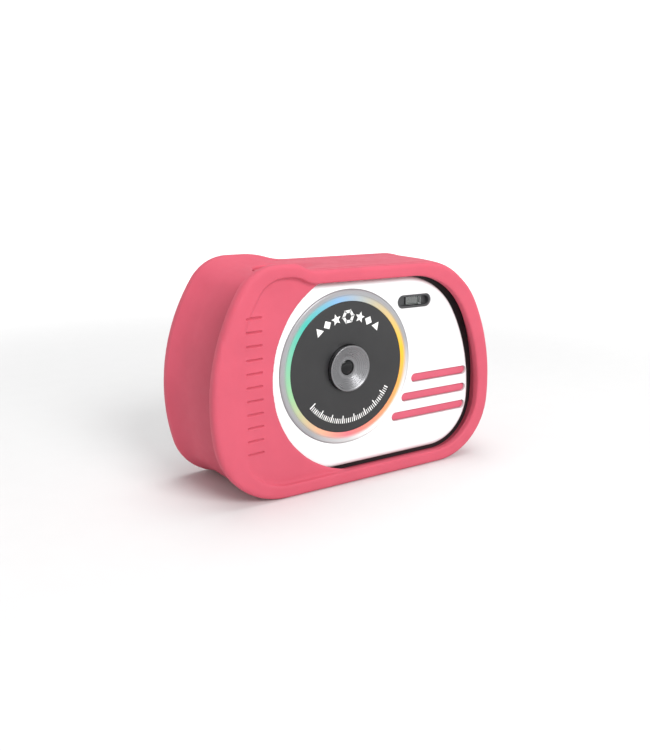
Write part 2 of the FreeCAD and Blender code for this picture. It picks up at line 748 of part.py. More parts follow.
def make_rear_shell():
    body = new_body("rear_case")
    inside = "back_y-wall"
    add(body, "XZ_Plane", "split_y", "back_y", draw_case)
    remove(body, "XZ_Plane", "split_y", inside, draw_case, "wall")
    for x, z in CASE_SCREWS:
        add(body, "XZ_Plane", "split_y", inside, draw_circle, str(x), str(z), "boss_radius")
        remove(body, "XZ_Plane", "split_y", "back_y", draw_circle, str(x), str(z), "screw_radius+0.15")
        remove(body, "XZ_Plane", "back_y-1.6", "back_y", draw_circle, str(x), str(z), "head_radius+0.2")
    for x, z in BOARD_SCREWS:
        add(body, "XZ_Plane", "board_y+board", inside, draw_circle, str(x), str(z), "post_radius")
        remove(body, "XZ_Plane", "board_y+board", inside, draw_circle, str(x), str(z), "0.65")
    # seat of the screen window and the opening in front of the display
    remove(body, "XZ_Plane", "back_y-glass_thick-0.1", "back_y", draw_rounded_box,
           "screen_x-glass_wide/2-0.1", "screen_x+glass_wide/2+0.1", "screen_z-glass_high/2-0.1",
           "screen_z+glass_high/2+0.1", "4.1")
    remove(body, "XZ_Plane", inside, "back_y", draw_box, "screen_x-view_wide/2", "screen_x+view_wide/2",
           "screen_z-view_high/2", "screen_z+view_high/2")
    # key holes
    for x, z, radius in (("pad_x", "pad_z", "ok_radius"), ("power_x", "power_z", "small_key"),
                         ("menu_x", "lower_key_z", "small_key"), ("play_x", "lower_key_z", "small_key")):
        remove(body, "XZ_Plane", inside, "back_y", draw_circle, x, z, radius + "+key_gap")
    holes = new_body("pad_holes", "pad_x", "0", "pad_z")
    first = add(holes, "XZ_Plane", inside + "-1", "back_y+1", draw_sector, "pad_inner-key_gap",
                "pad_outer+key_gap", "pad_angle+1.5")
    pattern = holes.newObject("PartDesign::PolarPattern", "pad_hole_pattern")
    pattern.Originals = [first]
    pattern.Axis = (next(part for part in holes.Origin.OriginFeatures if part.Role == "Y_Axis"), [""])
    pattern.Angle = 360
    pattern.Occurrences = 4
    holes.Tip = pattern
    # sound holes of the speaker and the pinhole of the microphone
    for turn in range(6):
        x = "speaker_x+2.6*cos(%d)" % (60 * turn)
        z = "speaker_z+2.6*sin(%d)" % (60 * turn)
        remove(body, "XZ_Plane", inside, "back_y", draw_circle, x, z, "0.6")
    remove(body, "XZ_Plane", inside, "back_y", draw_circle, "speaker_x", "speaker_z", "0.6")
    remove(body, "XZ_Plane", inside, "back_y", draw_circle, "microphone_x", "microphone_z",
           "0.45")
    nodes["rear_shell"] = cut_from("rear_shell", body, holes)


def make_face_plate():
    body = new_body("face_plate")
    insets = ("plate_top", "plate_bottom", "plate_left", "plate_side", "case_hump", "plate_extra",
              "window_low_extra")
    add(body, "XZ_Plane", "face_y", "face_y+plate", draw_loaf, *insets)
    level = value("face_y")
    round_edges(body, "plate_round", lambda edge: at_level(edge, 1, level))
    remove(body, "XZ_Plane", "face_y", "face_y+plate", draw_circle, "lens_x", "lens_z",
           "ring_radius+fit_gap")
    for step in range(3):
        remove(body, "XZ_Plane", "face_y", "face_y+plate", draw_slot,
               "stripe_left+%d*stripe_step_x" % step, "stripe_right",
               "stripe_low_z+%d*stripe_step_z" % step, "stripe_half")
    remove(body, "XZ_Plane", "face_y", "face_y+plate", draw_slot, "flash_x-flash_half",
           "flash_x+flash_half", "flash_z", "flash_radius")
    nodes["face_plate"] = body


def make_stripes():
    for step, name in enumerate(("lower", "middle", "upper")):
        body = new_body(name + "_stripe")
        add(body, "XZ_Plane", "face_y+0.5", "face_y+plate", draw_slot,
            "stripe_left+%d*stripe_step_x+0.05" % step, "stripe_right-0.05",
            "stripe_low_z+%d*stripe_step_z" % step, "stripe_half-0.05")
        nodes[name + "_stripe"] = body


# ---------------------------------------------------------------- lens unit

def make_lens_unit():
    seat = "face_y+plate"
    nodes["lens_ring"] = turned("lens_ring", [
        ("disc_radius+0.1", seat), ("ring_radius", seat), ("ring_radius", "face_y+0.1"),
        ("ring_radius-0.5", "face_y-0.3"), ("rainbow_radius+0.05", "face_y-0.3"),
        ("rainbow_radius+0.05", "face_y+0.6"), ("disc_radius+0.1", "face_y+0.6")])
    nodes["rainbow_ring"] = turned("rainbow_ring", [
        ("disc_radius+0.1", "face_y+0.6"), ("rainbow_radius", "face_y+0.6"),
        ("rainbow_radius", "face_y-0.3"), ("disc_radius+0.1", "face_y-0.3")])
    nodes["lens_disc"] = turned("lens_disc", [
        ("cone_radius+0.05", seat), ("disc_radius", seat), ("disc_radius", "face_y-0.1"),
        ("disc_radius-0.2", "face_y-0.3"), ("cone_radius+0.05", "face_y-0.3")])
    nodes["lens_cone"] = turned("lens_cone", [
        ("eye_radius+0.05", "face_y+0.9"), ("barrel_radius+0.9", "face_y+0.9"),
        ("barrel_radius+0.9", seat), ("cone_radius", seat), ("cone_radius", "face_y-cone_proud+0.15"),
        ("cone_radius-0.15", "face_y-cone_proud"), ("cone_radius-0.4", "face_y-cone_proud"),
        ("eye_radius+0.75", "face_y-0.1"), ("eye_radius+0.05", "face_y-0.1")])
    nodes["front_glass"] = turned("front_glass", [
        ("0", "face_y+0.9"), ("eye_radius", "face_y+0.9"), ("eye_radius", "face_y+0.1"),
        ("eye_radius*0.6", "face_y-0.2"), ("0", "face_y-0.3")])
    nodes["lens_barrel"] = turned("lens_barrel", [
        ("barrel_radius-0.9", "face_y+1.1"), ("barrel_radius", "face_y+1.1"),
        ("barrel_radius", "barrel_rear"), ("barrel_radius-0.9", "barrel_rear"),
        ("barrel_radius-0.9", "stop_rear"),
        ("barrel_radius-1.7", "stop_rear"), ("barrel_radius-1.7", "stop_front"),
        ("barrel_radius-0.9", "stop_front")])
    nodes["front_element"] = turned("front_element", [
        ("0", "-10.6"), ("barrel_radius-0.95", "-11.2"), ("barrel_radius-0.95", "-12.2"),
        ("barrel_radius-2", "-12.8"), ("0", "-13")])
    nodes["rear_element"] = turned("rear_element", [
        ("0", "-7.6"), ("barrel_radius-0.95", "-7.5"), ("barrel_radius-0.95", "-8.4"),
        ("barrel_radius-2", "-9"), ("0", "-9.2")])
    holder = new_body("sensor_holder", "lens_x", "0", "lens_z")
    add(holder, "XZ_Plane", "-9", "sensor_rear", draw_rounded_box, "-holder_side/2",
        "holder_side/2", "-holder_side/2", "holder_side/2", "1")
    remove(holder, "XZ_Plane", "-9", "sensor_rear", draw_circle, "0", "0", "barrel_radius+0.05")
    nodes["sensor_holder"] = holder
    nodes["infrared_filter"] = solid_box("infrared_filter", "lens_x-sensor_half", "lens_x+sensor_half",
                                         "sensor_front-0.5", "sensor_front-0.1", "lens_z-sensor_half",
                                         "lens_z+sensor_half")
    nodes["image_sensor"] = solid_box("image_sensor", "lens_x-sensor_half", "lens_x+sensor_half",
                                      "sensor_front", "sensor_rear", "lens_z-sensor_half",
                                      "lens_z+sensor_half")
    nodes["sensor_board"] = solid_box("sensor_board", "lens_x-7", "lens_x+7", "sensor_rear", "sensor_rear+1",
                                      "lens_z-6", "lens_z+8")
    flex = new_body("sensor_flex")
    add(flex, "YZ_Plane", "lens_x-4", "lens_x+4", draw_polygon, [
        ("-2", "lens_z+7.8"), ("-2", "lens_z+5.5"), ("-1.8", "lens_z+5.5"), ("-1.8", "lens_z+7.6"),
        ("board_y-0.2", "lens_z+13"), ("board_y-0.2", "lens_z+10"), ("board_y", "lens_z+10"),
        ("board_y", "lens_z+13.3"), ("-1.9", "lens_z+7.8")])
    nodes["sensor_flex"] = flex


def make_flash():
    tray = new_body("flash_bezel")
    outline = ("flash_x-flash_half+0.05", "flash_x+flash_half-0.05", "flash_z", "flash_radius-0.05")
    add(tray, "XZ_Plane", "face_y+0.3", "face_y+plate", draw_slot, *outline)
    remove(tray, "XZ_Plane", "face_y+0.3", "face_y+plate-0.4", draw_slot, "flash_x-flash_half+0.6",
           "flash_x+flash_half-0.6", "flash_z", "flash_radius-0.6")
    remove(tray, "XZ_Plane", "face_y+plate-0.4", "face_y+plate", draw_box, "flash_x-2.45", "flash_x+3.25",
           "flash_z-1.2", "flash_z+1.2")
    nodes["flash_bezel"] = tray
    window = new_body("flash_window")
    add(window, "XZ_Plane", "face_y+1", "face_y+plate+0.6", draw_rounded_box, "flash_x-2.4",
        "flash_x+3.2", "flash_z-1.15", "flash_z+1.15", "0.2")
    nodes["flash_window"] = window
    led = new_body("flash_lamp")
    add(led, "XZ_Plane", "-11.4", "-10.3", draw_box, "flash_x-2", "flash_x+2.8", "flash_z-1",
        "flash_z+1")
    nodes["flash_lamp"] = led
    nodes["flash_board"] = solid_box("flash_board", "flash_x-5", "flash_x+5", "-10.3", "-9.5",
                                     "flash_z-2.6", "flash_z+2.6")


# ---------------------------------------------------------------- screen, boards and power

def make_screen():
    glass = new_body("screen_window")
    add(glass, "XZ_Plane", "back_y-glass_thick", "back_y", draw_rounded_box,
        "screen_x-glass_wide/2", "screen_x+glass_wide/2", "screen_z-glass_high/2",
        "screen_z+glass_high/2", "4")
    level = value("back_y")
    round_edges(glass, "0.4", lambda edge: at_level(edge, 1, level))
    nodes["screen_window"] = glass
    nodes["display_panel"] = solid_box("display_panel", "screen_x-panel_wide/2", "screen_x+panel_wide/2",
                                       "board_y+board+0.1", "back_y-wall-0.1",
                                       "screen_z-panel_high/2", "screen_z+panel_high/2")


def make_boards():
    board = new_body("main_board")
    rear = "board_y+board"
    add(board, "XZ_Plane", "board_y", rear, draw_polygon, [
        ("-36.5", "16.8"), ("-17", "16.8"), ("-17", "7.5"), ("26.5", "7.5"), ("26.5", "17"),
        ("38.4", "17"), ("38.4", "40"), ("23", "43.5"), ("23", "54"), ("-28.5", "54"),
        ("-28.5", "43.4"), ("-36.5", "43.4")])
    for x, z in BOARD_SCREWS:
        remove(board, "XZ_Plane", "board_y", rear, draw_circle, str(x), str(z), "0.8")
    nodes["main_board"] = board
    chips = [
        solid_box("processor", "-13", "-1", "board_y-1.2", "board_y", "14", "26"),
        solid_box("memory_chip", "-14", "-6", "board_y-1", "board_y", "29", "37"),
        solid_box("power_chip", "2", "8", "board_y-1", "board_y", "10", "16"),
    ]
    nodes["processor_chips"] = grouped("processor_chips", chips)
    battery = new_body("battery")
    add(battery, "XZ_Plane", "battery_y", "battery_y+battery", draw_rounded_box,
        "battery_x-battery_wide/2", "battery_x+battery_wide/2", "battery_z-battery_high/2",
        "battery_z+battery_high/2", "2")
    nodes["battery"] = battery
    nodes["battery_pad"] = solid_box("battery_pad", "battery_x-12", "battery_x+12",
                                     "face_y+plate+wall", "battery_y", "battery_z-10", "battery_z+10")
    speaker = turned("speaker", [("0", "back_y-wall-3.6"), ("speaker_radius-1.4", "back_y-wall-3.6"),
                                 ("speaker_radius-1.4", "back_y-wall-2"),
                                 ("speaker_radius", "back_y-wall-2"), ("speaker_radius", "back_y-wall"),
                                 ("speaker_radius-0.8", "back_y-wall"),
                                 ("speaker_radius-0.8", "back_y-wall-0.6"), ("0", "back_y-wall-0.8")],
                     x="speaker_x", z="speaker_z")
    nodes["speaker"] = speaker
    nodes["microphone"] = solid_rod("microphone", "1.6", "1.4", "microphone_x",
                                   "board_y+board", "microphone_z")


# ---------------------------------------------------------------- keys and shutter

def key_body(name, x, z, angle, draw, cap, rim, cap_round):
    """A rear key: cap, retaining rim and a short stem over its dome."""
    key = new_body(name, x, "0", z, angle)
    rim_rear = "back_y-wall-0.3"
    rim_front = "back_y-wall-1.3"
    add(key, "XZ_Plane", rim_front, rim_rear, draw, *rim)
    add(key, "XZ_Plane", rim_rear, "back_y+key_proud", draw, *cap)
    level = value("back_y+key_proud")
    round_edges(key, cap_round, lambda edge: at_level(edge, 1, level))
    middle = "(pad_inner+pad_outer)/2" if draw is draw_sector else "0"
    add(key, "XZ_Plane", "board_y+board+dome+0.6", rim_front, draw_circle, "0", middle, "1.2")
    nodes[name] = key


def make_keys():
    # seen from the rear, +X is on the left
    for name, angle in (("up_key", 0.0), ("right_key", -90.0), ("down_key", 180.0), ("left_key", 90.0)):
        key_body(name, "pad_x", "pad_z", angle, draw_sector, ("pad_inner", "pad_outer", "pad_angle"),
                 ("pad_inner-0.35", "pad_outer+key_rim", "pad_angle+4"), "0.5")
    key_body("ok_button", "pad_x", "pad_z", 0.0, draw_circle, ("0", "0", "ok_radius"),
             ("0", "0", "ok_radius+key_rim"), "0.6")
    for name, x, z in (("power_button", "power_x", "power_z"), ("menu_button", "menu_x", "lower_key_z"),
                       ("play_button", "play_x", "lower_key_z")):
        key_body(name, x, z, 0.0, draw_circle, ("0", "0", "small_key"),
                 ("0", "0", "small_key+key_rim"), "0.5")


def make_domes():
    middle = "(pad_inner+pad_outer)/2"
    spots = [("pad_x", "pad_z"), ("pad_x", "pad_z+" + middle), ("pad_x", "pad_z-" + middle),
             ("pad_x+" + middle, "pad_z"), ("pad_x-" + middle, "pad_z"), ("power_x", "power_z"),
             ("menu_x", "lower_key_z"), ("play_x", "lower_key_z")]
    domes = []
    for number, (x, z) in enumerate(spots):
        domes.append(solid_rod("dome_%d" % number, "2", "dome", x, "board_y+board", z))
    nodes["key_domes"] = grouped("key_domes", domes)


def make_shutter():
    button = new_body("shutter_button")
    wall_low = "sleeve_top-body_top-wall"
    add(button, "XY_Plane", wall_low + "-1.3", wall_low + "-0.3", draw_circle, "shutter_x", "0",
        "shutter_radius+shutter_rim")
    add(button, "XY_Plane", wall_low + "-0.3", "shutter_top", draw_circle, "shutter_x", "0",
        "shutter_radius")
    level = value("shutter_top")
    round_edges(button, "0.5", lambda edge: at_level(edge, 2, level))
    nodes["shutter_button"] = button
    base = solid_box("switch_base", "shutter_x-3", "shutter_x+3", "-3", "3", "switch_low",
                     "switch_high")
    plunger = solid_rod("switch_plunger", "1.7", "0.8", "shutter_x", "0", "switch_high", "z")
    nodes["shutter_switch"] = joined("shutter_switch", [base, plunger])
    nodes["shutter_board"] = solid_box("shutter_board", "shutter_x-5.2", "shutter_x+3.8", "-6", "6",
                                       "switch_board", "switch_low")


# ---------------------------------------------------------------- side door and sockets

def make_door():
    plate = new_body("door_leaf")
    add(plate, "YZ_Plane", "door_x", "door_x+door", draw_rounded_box, "door_front_y", "door_rear_y",
        "door_z-door_half_high", "door_z+door_half_high", "1.6")
    outer = value("door_x+door")
    round_edges(plate, "0.4", lambda edge: at_level(edge, 0, outer))
    add(plate, "YZ_Plane", "door_x-1.5", "door_x", draw_rounded_box, "bay_front_y+0.3", "bay_rear_y-0.3",
        "door_z-bay_half_high+0.3", "door_z+bay_half_high-0.3", "0.8")
    web = solid_box("door_web", "door_x+0.1", "door_x+door-0.1", "door_rear_y-0.5", "hinge_y",
                    "door_z-bay_half_high", "door_z+bay_half_high")
    barrel = solid_rod("door_barrel", "hinge_radius", "2*bay_half_high", "hinge_x", "hinge_y",
                       "door_z-bay_half_high", "z")
    leaf = joined("door_solid", [plate, web, barrel])
    hole = solid_rod("door_hole", "pin_radius+0.07", "2*bay_half_high+2", "hinge_x", "hinge_y",
                     "door_z-bay_half_high-1", "z")
    nodes["port_door"] = cut_from("port_door", leaf, hole)
    nodes["door_pin"] = solid_rod("door_pin", "pin_radius", "2*door_half_high+0.4", "hinge_x", "hinge_y",
                                  "door_z-door_half_high-0.2", "z")


def make_sockets():
    nodes["port_board"] = solid_box("port_board", "24", "socket_face", "socket_y", "socket_y+1",
                                    "door_z-7", "door_z+7")
    usb = new_body("usb_socket")
    add(usb, "YZ_Plane", "33.6", "socket_face+0.5", draw_rounded_box, "socket_y-3.2", "socket_y",
        "door_z-4.5", "door_z+4.5", "1.5")
    remove(usb, "YZ_Plane", "34.6", "socket_face+0.5", draw_rounded_box, "socket_y-2.9",
           "socket_y-0.3", "door_z-4.2", "door_z+4.2", "1.25")
    add(usb, "YZ_Plane", "34.6", "socket_face-0.2", draw_box, "socket_y-1.9", "socket_y-1.3",
        "door_z-3.3", "door_z+3.3")
    nodes["usb_socket"] = usb
    slot = new_body("card_socket")
    add(slot, "YZ_Plane", "25.5", "socket_face", draw_box, "socket_y+1", "socket_y+3", "door_z-6.6",
        "door_z+6.6")
    remove(slot, "YZ_Plane", "26", "socket_face", draw_box, "socket_y+1.5", "socket_y+2.5",
           "door_z-5.6", "door_z+5.6")
    nodes["card_socket"] = slot
    nodes["memory_card"] = solid_box("memory_card", "26.2", "socket_face+0.4", "socket_y+1.6",
                                     "socket_y+2.4", "door_z-5.5", "door_z+5.5")


def make_bush():
    bush = new_body("tripod_bush", "0", "bush_y", "body_bottom")
    add(bush, "XY_Plane", "0", "bush_high", draw_circle, "0", "0", "bush_radius")
    remove(bush, "XY_Plane", "-0.5", "thread_deep", draw_circle, "0", "0", "thread_radius")
    nodes["tripod_bush"] = bush


# ---------------------------------------------------------------- screws

def pan_screw(name, x, z, head, radius, seat, length):
    """A pan-head screw pointing to the front, its head's underside at the seat."""
    top = solid_rod(name + "_head", head, "1.2", x, seat, z)
    shank = solid_rod(name + "_shank", radius, length, x, "(%s)-(%s)" % (seat, length), z)
    drive_a = solid_box(name + "_drive_a", "%s-1" % x, "%s+1" % x, "(%s)+0.6" % seat,
                        "(%s)+1.4" % seat, "%s-0.2" % z, "%s+0.2" % z)
    drive_b = solid_box(name + "_drive_b", "%s-0.2" % x, "%s+0.2" % x, "(%s)+0.6" % seat,
                        "(%s)+1.4" % seat, "%s-1" % z, "%s+1" % z)
    cross = joined(name + "_cross", [drive_a, drive_b])
    return cut_from(name, joined(name + "_blank", [top, shank]), cross)


def make_screws():
    case = [pan_screw("case_screw_%d" % i, str(x), str(z), "head_radius", "screw_radius-0.2",
                        "back_y-1.6", "13") for i, (x, z) in enumerate(CASE_SCREWS)]
    nodes["case_screws"] = grouped("case_screws", case)
    small = []
    for i, (x, z) in enumerate(BOARD_SCREWS):
        head = solid_rod("board_head_%d" % i, "1.4", "0.8", str(x), "board_y-0.8", str(z))
        shank = solid_rod("board_shank_%d" % i, "0.6", "3", str(x), "board_y", str(z))
        small.append(joined("board_screw_%d" % i, [head, shank]))
    nodes["board_screws"] = grouped("board_screws", small)


# ---------------------------------------------------------------- build, test and write

def main():
    make_sleeve()
    make_front_shell()
    make_rear_shell()
    make_face_plate()
    make_stripes()
    make_lens_unit()
    make_flash()
    make_screen()
    make_boards()
    make_keys()
    make_domes()
    make_shutter()
    make_door()
    make_sockets()
    make_bush()
    make_screws()
    doc.recompute()
    for thing in doc.Objects:
        if "Invalid" in thing.State or "Error" in thing.State:
            raise RuntimeError("%s failed: %s" % (thing.Label, thing.State))
    os.makedirs("parts", exist_ok=True)
    for name, thing in nodes.items():
        shape = thing.Shape
        if shape.isNull() or not shape.isValid() or not shape.Solids:
            raise RuntimeError("%s has a bad shape" % name)
    for name, thing in nodes.items():
        thing.Shape.exportStep(os.path.join("parts", name + ".step"))
        box = thing.Shape.BoundBox
        print("%-16s %d solid(s) %9.1f mm3  x %.2f..%.2f  y %.2f..%.2f  z %.2f..%.2f" % (
            name, len(thing.Shape.Solids), thing.Shape.Volume, box.XMin, box.XMax, box.YMin, box.YMax,
            box.ZMin, box.ZMax))


main()
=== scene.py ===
import json
import math

import bmesh
import bpy
import numpy as np
from mathutils import Matrix, Quaternion, Vector


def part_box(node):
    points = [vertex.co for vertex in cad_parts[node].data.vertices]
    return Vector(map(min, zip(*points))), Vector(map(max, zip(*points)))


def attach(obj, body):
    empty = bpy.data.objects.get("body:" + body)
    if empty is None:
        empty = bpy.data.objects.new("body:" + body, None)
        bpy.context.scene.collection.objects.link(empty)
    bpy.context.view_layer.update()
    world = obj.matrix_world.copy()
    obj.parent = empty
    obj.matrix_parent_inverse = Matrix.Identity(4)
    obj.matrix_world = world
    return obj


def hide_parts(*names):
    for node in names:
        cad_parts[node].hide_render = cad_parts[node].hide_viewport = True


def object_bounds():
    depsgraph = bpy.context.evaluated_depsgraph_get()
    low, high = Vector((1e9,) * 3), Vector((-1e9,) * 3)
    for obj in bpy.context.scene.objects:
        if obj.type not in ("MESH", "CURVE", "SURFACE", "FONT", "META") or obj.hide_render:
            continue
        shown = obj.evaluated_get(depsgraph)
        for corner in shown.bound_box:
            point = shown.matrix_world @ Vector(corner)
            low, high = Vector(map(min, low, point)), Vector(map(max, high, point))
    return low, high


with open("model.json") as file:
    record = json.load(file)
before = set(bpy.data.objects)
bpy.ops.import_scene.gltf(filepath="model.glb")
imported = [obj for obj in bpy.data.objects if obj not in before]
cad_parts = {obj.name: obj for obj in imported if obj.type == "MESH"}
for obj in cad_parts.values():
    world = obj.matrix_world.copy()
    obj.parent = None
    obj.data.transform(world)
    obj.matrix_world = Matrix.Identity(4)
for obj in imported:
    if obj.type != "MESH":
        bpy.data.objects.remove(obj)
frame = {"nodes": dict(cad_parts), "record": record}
cad_low, cad_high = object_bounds()

scene = bpy.context.scene
nodes = frame["nodes"]
BODY = "camera_body"
MM = 0.001

scene.view_settings.view_transform = "Standard"


# ---------------------------------------------------------------- places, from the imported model

disc_low, disc_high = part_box("lens_disc")
LENS = Vector(((disc_low.x + disc_high.x) / 2, 0, (disc_low.z + disc_high.z) / 2))
DISC_R = (disc_high.x - disc_low.x) / 2
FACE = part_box("face_plate")[0].y
LENS_FRONT = disc_low.y


# ---------------------------------------------------------------- materials

def linear(red, green, blue):
    """A display colour, 0 to 255, as scene-linear numbers."""
    out = []
    for part in (red, green, blue):
        part /= 255
        out.append(part / 12.92 if part <= 0.04045 else ((part + 0.055) / 1.055) ** 2.4)
    return (*out, 1.0)


# the Mix node's sockets when it mixes colours
MIX_FIRST, MIX_SECOND, MIX_RESULT = 6, 7, 2


class Paint:
    """A node material: one Principled shader and the procedural detail that feeds it."""

    def __init__(self, name, colour, roughness, **sockets):
        self.material = bpy.data.materials.new(name)
        self.material.use_nodes = True
        self.tree = self.material.node_tree
        self.shader = self.tree.nodes["Principled BSDF"]
        self.shader.inputs["Base Color"].default_value = colour
        self.shader.inputs["Roughness"].default_value = roughness
        for socket, number in sockets.items():
            self.shader.inputs[socket.replace("_", " ")].default_value = number
        self.material.diffuse_color = colour
        self.place = self.node("ShaderNodeTexCoord").outputs["Object"]
        self.normal = None

    def node(self, kind, **settings):
        made = self.tree.nodes.new(kind)
        for key, setting in settings.items():
            setattr(made, key, setting)
        return made

    def link(self, source, target):
        self.tree.links.new(source, target)

    def math(self, operation, first, second=None, third=None):
        made = self.node("ShaderNodeMath", operation=operation)
        for index, item in enumerate((first, second, third)):
            if item is None:
                continue
            if isinstance(item, (int, float)):
                made.inputs[index].default_value = item
            else:
                self.link(item, made.inputs[index])
        return made.outputs[0]

    def noise(self, size, detail=3.0):
        """Noise whose features are about size metres."""
        texture = self.node("ShaderNodeTexNoise")
        texture.inputs["Scale"].default_value = 1 / size
        texture.inputs["Detail"].default_value = detail
        self.link(self.place, texture.inputs["Vector"])
        return texture.outputs["Fac"]

    def remapped(self, source, from_low, from_high, to_low=0.0, to_high=1.0, kind="LINEAR"):
        """One range of values carried over to another, and held at its ends."""
        made = self.node("ShaderNodeMapRange", interpolation_type=kind)
        for socket, number in (("From Min", from_low), ("From Max", from_high),
                               ("To Min", to_low), ("To Max", to_high)):
            made.inputs[socket].default_value = number
        self.link(source, made.inputs["Value"])
        return made.outputs[0]

    def blended(self, factor, first):
        """A colour mix of first and a second colour; gives the second's socket and the result."""
        made = self.node("ShaderNodeMix", data_type="RGBA")
        self.link(factor, made.inputs[0])
        self.link(first, made.inputs[MIX_FIRST])
        return made.inputs[MIX_SECOND], made.outputs[MIX_RESULT]

    def ramp(self, source, stops):
        made = self.node("ShaderNodeValToRGB")
        elements = made.color_ramp.elements
        while len(elements) > 1:
            elements.remove(elements[-1])
        elements[0].position = stops[0][0]
        elements[0].color = stops[0][1]
        for position, colour in stops[1:]:
            elements.new(position).color = colour
        self.link(source, made.inputs[0])
        return made.outputs[0]

    def tint(self, source, dark, light, low=0.35, high=0.65):
        """Base colour between two near colours."""
        self.link(self.ramp(source, [(low, dark), (high, light)]), self.shader.inputs["Base Color"])

    def sheen_of(self, source, low, high):
        """Roughness between two values."""
        self.link(self.remapped(source, 0.3, 0.7, low, high), self.shader.inputs["Roughness"])

    def bump(self, source, height, strength=1.0):
        """Relief height metres deep; several add up."""
        made = self.node("ShaderNodeBump")
        made.inputs["Distance"].default_value = height
        made.inputs["Strength"].default_value = strength
        self.link(source, made.inputs["Height"])
        if self.normal:
            self.link(self.normal, made.inputs["Normal"])
        self.normal = made.outputs[0]
        self.link(self.normal, self.shader.inputs["Normal"])

    def around(self, centre):
        """Distance from the front-to-back axis through centre, and the turn from 6 o'clock, 0 to 1."""
        split = self.node("ShaderNodeSeparateXYZ")
        self.link(self.place, split.inputs[0])
        across = self.math("SUBTRACT", split.outputs[0], centre.x)
        up = self.math("SUBTRACT", split.outputs[2], centre.z)
        squares = self.math("ADD", self.math("MULTIPLY", across, across), self.math("MULTIPLY", up, up))
        turn = self.math("MULTIPLY_ADD", self.math("ARCTAN2", across, up), 0.5 / math.pi, 0.5)
        return self.math("SQRT", squares), turn


def shade(colour, factor):
    return (*(min(1.0, part * factor) for part in colour[:3]), 1.0)


def plain_paint(name, colour, low_rough, high_rough, grain, depth, spread=0.06, **sockets):
    """Moulded or coated stuff: faint cloudiness, uneven gloss and a fine surface grain."""
    paint = Paint(name, colour, (low_rough + high_rough) / 2, **sockets)
    paint.tint(paint.noise(9 * MM, 4.0), shade(colour, 1 - spread), shade(colour, 1 + spread))
    paint.sheen_of(paint.noise(2.5 * MM, 5.0), low_rough, high_rough)
    paint.bump(paint.noise(grain, 2.0), depth)
    return paint


PINK = linear(200, 87, 105)

silicone = plain_paint("pink_silicone", PINK, 0.52, 0.62, 0.16 * MM, 0.006 * MM, 0.03)
silicone.shader.inputs["Subsurface Weight"].default_value = 0.12
silicone.shader.inputs["Subsurface Radius"].default_value = (1.0, 0.35, 0.3)
silicone.shader.inputs["Subsurface Scale"].default_value = 0.8 * MM
silicone.shader.inputs["Specular IOR Level"].default_value = 0.16
silicone.bump(silicone.noise(1.8 * MM, 2.0), 0.012 * MM)


def paint_valley_shade(paint):
    """Painted shade: the silicone's colour is darkened in the valley behind the left of the front rim, where
    the rim shades it.
    """
    split = paint.node("ShaderNodeSeparateXYZ")
    paint.link(paint.place, split.inputs[0])
    # where the painted shade lies: strongest just behind the front rim, fading towards the back, on the left
    # side only
    reach = paint.remapped(split.outputs[1], -16 * MM, 8 * MM)
    depth = paint.ramp(reach, [(0.1, (0, 0, 0, 1)), (0.15, (1, 1, 1, 1)), (0.36, (0.9, 0.9, 0.9, 1)),
                               (0.92, (0, 0, 0, 1))])
    side = paint.remapped(split.outputs[0], -30 * MM, -38 * MM, kind="SMOOTHSTEP")
    colour = paint.shader.inputs["Base Color"]
    second, result = paint.blended(paint.math("MULTIPLY", depth, side), colour.links[0].from_socket)
    # the colour of the painted shade, a darker pink
    second.default_value = shade(PINK, 0.8)
    paint.link(result, colour)


paint_valley_shade(silicone)

paints = {
    "pink_silicone": silicone,
    "black_plastic": plain_paint("black_plastic", linear(34, 34, 36), 0.36, 0.5, 0.22 * MM, 0.008 * MM, 0.1),
    "white_plastic": plain_paint("white_plastic", linear(232, 232, 233), 0.14, 0.22, 2.5 * MM, 0.002 * MM,
                                 0.008, Coat_Weight=0.3),
    "pink_plastic": plain_paint("pink_plastic", linear(202, 84, 106), 0.34, 0.46, 0.2 * MM, 0.006 * MM, 0.03),
    "disc_black": plain_paint("disc_black", linear(36, 36, 37), 0.34, 0.42, 0.12 * MM, 0.003 * MM, 0.08),
    "clear_glass": Paint("clear_glass", (0.9, 0.94, 0.96, 1), 0.02, Transmission_Weight=1.0, IOR=1.5),
    "dark_glass": Paint("dark_glass", (0.3, 0.31, 0.34, 1), 0.03, Transmission_Weight=0.9, IOR=1.5),
    "grey_key": plain_paint("grey_key", linear(196, 198, 203), 0.32, 0.44, 0.18 * MM, 0.006 * MM, 0.02),
    "brass_bush": plain_paint("brass_bush", linear(212, 178, 104), 0.22, 0.36, 0.3 * MM, 0.004 * MM, 0.05,
                              Metallic=1.0),
    "screw_steel": plain_paint("screw_steel", linear(170, 171, 174), 0.24, 0.4, 0.2 * MM, 0.004 * MM, 0.06,
                               Metallic=1.0),
    "board_green": plain_paint("board_green", linear(28, 92, 58), 0.3, 0.42, 0.7 * MM, 0.01 * MM, 0.16),
    "chip_black": plain_paint("chip_black", linear(38, 38, 40), 0.5, 0.64, 0.12 * MM, 0.006 * MM, 0.1),
    "battery_foil": plain_paint("battery_foil", linear(188, 190, 194), 0.28, 0.42, 1.4 * MM, 0.05 * MM, 0.05,
                                Metallic=0.9),
    "foam_pad": plain_paint("foam_pad", linear(52, 52, 54), 0.85, 0.95, 0.35 * MM, 0.08 * MM, 0.2),
    "flex_amber": plain_paint("flex_amber", linear(172, 106, 32), 0.22, 0.34, 0.9 * MM, 0.01 * MM, 0.1),
    "lamp_yellow": plain_paint("lamp_yellow", linear(112, 111, 104), 0.3, 0.4, 0.3 * MM, 0.01 * MM, 0.08),
    "display_grey": plain_paint("display_grey", linear(46, 48, 54), 0.14, 0.2, 0.3 * MM, 0.001 * MM, 0.05),
}
for glass in ("clear_glass", "dark_glass"):
    paints[glass].sheen_of(paints[glass].noise(6 * MM, 4.0), 0.01, 0.05)

